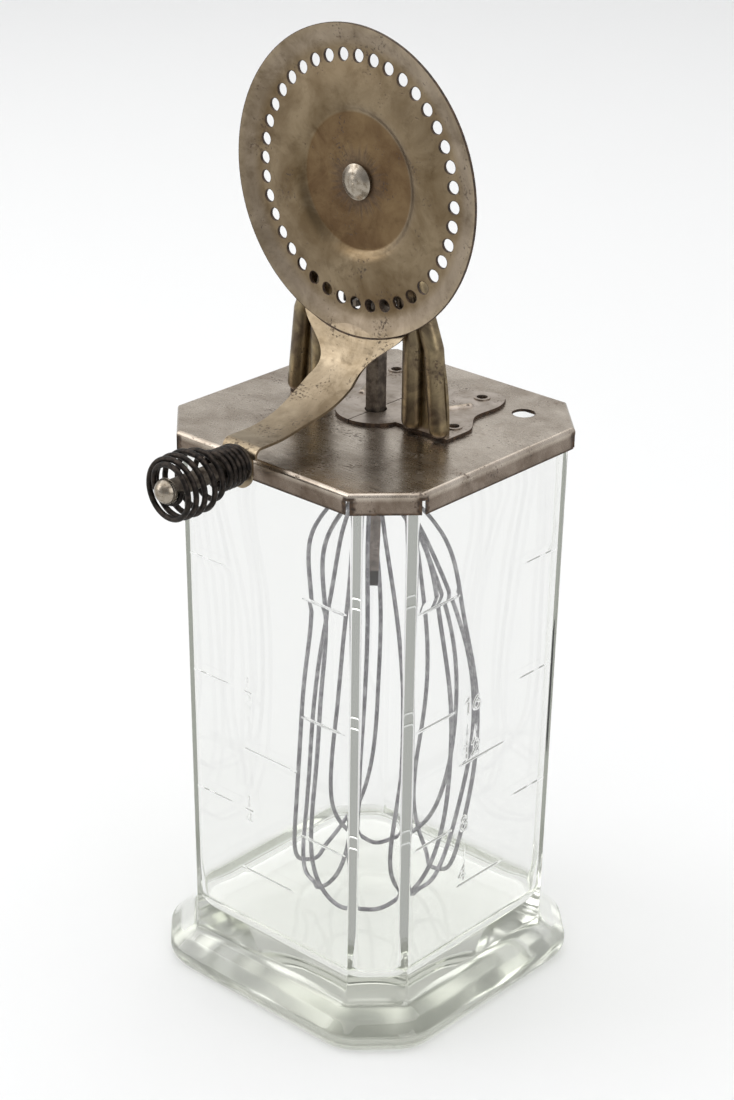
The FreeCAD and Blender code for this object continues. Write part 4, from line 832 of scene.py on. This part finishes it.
def make_camera():
    """Camera that looks from its place to its aim, rolled a little about that line."""
    camera = bpy.data.cameras.new("camera")
    camera.lens = CAMERA_LENS
    camera.sensor_width = CAMERA_SENSOR
    camera.clip_end = 20.0
    made = bpy.data.objects.new("camera", camera)
    bpy.context.scene.collection.objects.link(made)
    level = (CAMERA_AIM - CAMERA_PLACE).to_track_quat("-Z", "Y").to_matrix()
    turn = level @ Matrix.Rotation(CAMERA_ROLL, 3, "Z")
    made.matrix_world = Matrix.Translation(CAMERA_PLACE) @ turn.to_4x4()
    bpy.context.scene.camera = made


# ---------------------------------------------------------------- stage and light
# the table lies this far below the jar's foot, so that light leaves the glass before it meets the table
AIR_GAP = 0.05 * MM
# share of the table's colour that gloss and glass see as plain light, with no shadow on it
TABLE_GLOW = 0.54
# strength of the room: as the camera, gloss and glass see it, on the dim front side, and as a light
ROOM_SEEN = 0.9
ROOM_FRONT = 0.42
ROOM_LIGHT = 0.55


def pale_table():
    """Matt pale table top: a plain colour that keeps soft shadows, and reads near white to the eye."""
    made, tree, out = new_material("matt_pale_table")
    rays = node(tree, "ShaderNodeLightPath")
    mirror = node(tree, "ShaderNodeMath",
                  {0: rays.outputs["Is Glossy Ray"], 1: rays.outputs["Is Transmission Ray"]},
                  operation="MAXIMUM")
    share = node(tree, "ShaderNodeMath", {0: mirror.outputs[0], 1: TABLE_GLOW}, operation="MULTIPLY")
    matt = node(tree, "ShaderNodeBsdfDiffuse", {"Color": rgb("#F0F0EF")})
    glow = node(tree, "ShaderNodeEmission", {"Color": rgb("#F1F2F1"), "Strength": 1.0})
    mixed = node(tree, "ShaderNodeMixShader",
                 {"Fac": share.outputs[0], 1: matt.outputs[0], 2: glow.outputs[0]})
    tree.links.new(mixed.outputs[0], out.inputs["Surface"])
    return made


def make_stage():
    """Floor that runs back and curls up into a wall: a straight run, a quarter circle, and a rise. It is
    turned so that the wall stands square behind the view."""
    front, behind, radius, rise, half = -2.4, 1.6, 0.6, 1.6, 2.6
    turn = np.linspace(0, math.pi / 2, 25)
    run = np.concatenate([[front], behind + radius * np.sin(turn), [behind + radius]])
    height = np.concatenate([[0.0], radius * (1 - np.cos(turn)), [radius + rise]]) - AIR_GAP
    across = np.linspace(-half, half, 3)
    points = np.stack(np.broadcast_arrays(across[None, :], run[:, None], height[:, None]), axis=-1)
    turned = np.array(Matrix.Rotation(CAMERA_AZIMUTH, 3, "Z"))
    floor = add_object("floor", grid_mesh("floor", (points @ turned.T)[:, ::-1]), pale_table())


def area_light(name, place, aim, size, power):
    """A lamp of size (width, height) in metres and power in watts, turned from its place to its aim."""
    lamp = bpy.data.lights.new(name, "AREA")
    lamp.shape = "RECTANGLE"
    lamp.size, lamp.size_y = size
    lamp.energy = power
    made = bpy.data.objects.new(name, lamp)
    bpy.context.scene.collection.objects.link(made)
    made.location = place
    made.rotation_euler = (Vector(aim) - Vector(place)).to_track_quat("-Z", "Y").to_euler()


def make_world():
    """Soft white room: plain white behind the object, and dimmer as a light. Gloss and glass see a bright
    wall and ceiling, and a dimmer room on the front side."""
    world = bpy.data.worlds.new("studio")
    world.use_nodes = True
    tree = world.node_tree
    tree.nodes.clear()
    rays = node(tree, "ShaderNodeLightPath")
    mirror = node(tree, "ShaderNodeMath",
                  {0: rays.outputs["Is Glossy Ray"], 1: rays.outputs["Is Transmission Ray"]},
                  operation="MAXIMUM")
    way = node(tree, "ShaderNodeTexCoord").outputs["Generated"]
    toward_front = (math.sin(CAMERA_AZIMUTH), -math.cos(CAMERA_AZIMUTH), -0.25)
    front = node(tree, "ShaderNodeVectorMath", {0: way, 1: toward_front}, operation="DOT_PRODUCT")
    room = node(tree, "ShaderNodeMapRange", {"Value": front.outputs["Value"], "From Min": 0.0,
                                             "From Max": 0.75, "To Min": ROOM_SEEN, "To Max": ROOM_FRONT})
    plain = node(tree, "ShaderNodeMapRange", {"Value": rays.outputs["Is Camera Ray"],
                                              "To Min": ROOM_LIGHT, "To Max": ROOM_SEEN})
    strength = node(tree, "ShaderNodeMix",
                    {"Factor": mirror.outputs[0], "A": plain.outputs[0], "B": room.outputs[0]})
    sky = node(tree, "ShaderNodeBackground", {"Color": rgb("#F6F7FA"), "Strength": strength.outputs[0]})
    node(tree, "ShaderNodeOutputWorld", {"Surface": sky.outputs[0]})
    bpy.context.scene.world = world


make_camera()
make_world()
make_stage()
area_light("overhead", place=(-0.2, 0.1, 1.5), aim=(0.0, 0.0, 0.1), size=(2.4, 2.4), power=20.0)
area_light("left_front", place=(-1.1, -0.9, 0.8), aim=(0.0, 0.0, 0.15), size=(0.9, 1.1), power=7.0)
area_light("right_fill", place=(1.2, -0.3, 0.7), aim=(0.0, 0.0, 0.15), size=(0.8, 1.0), power=4.0)
bpy.context.scene.view_settings.view_transform = "Standard"
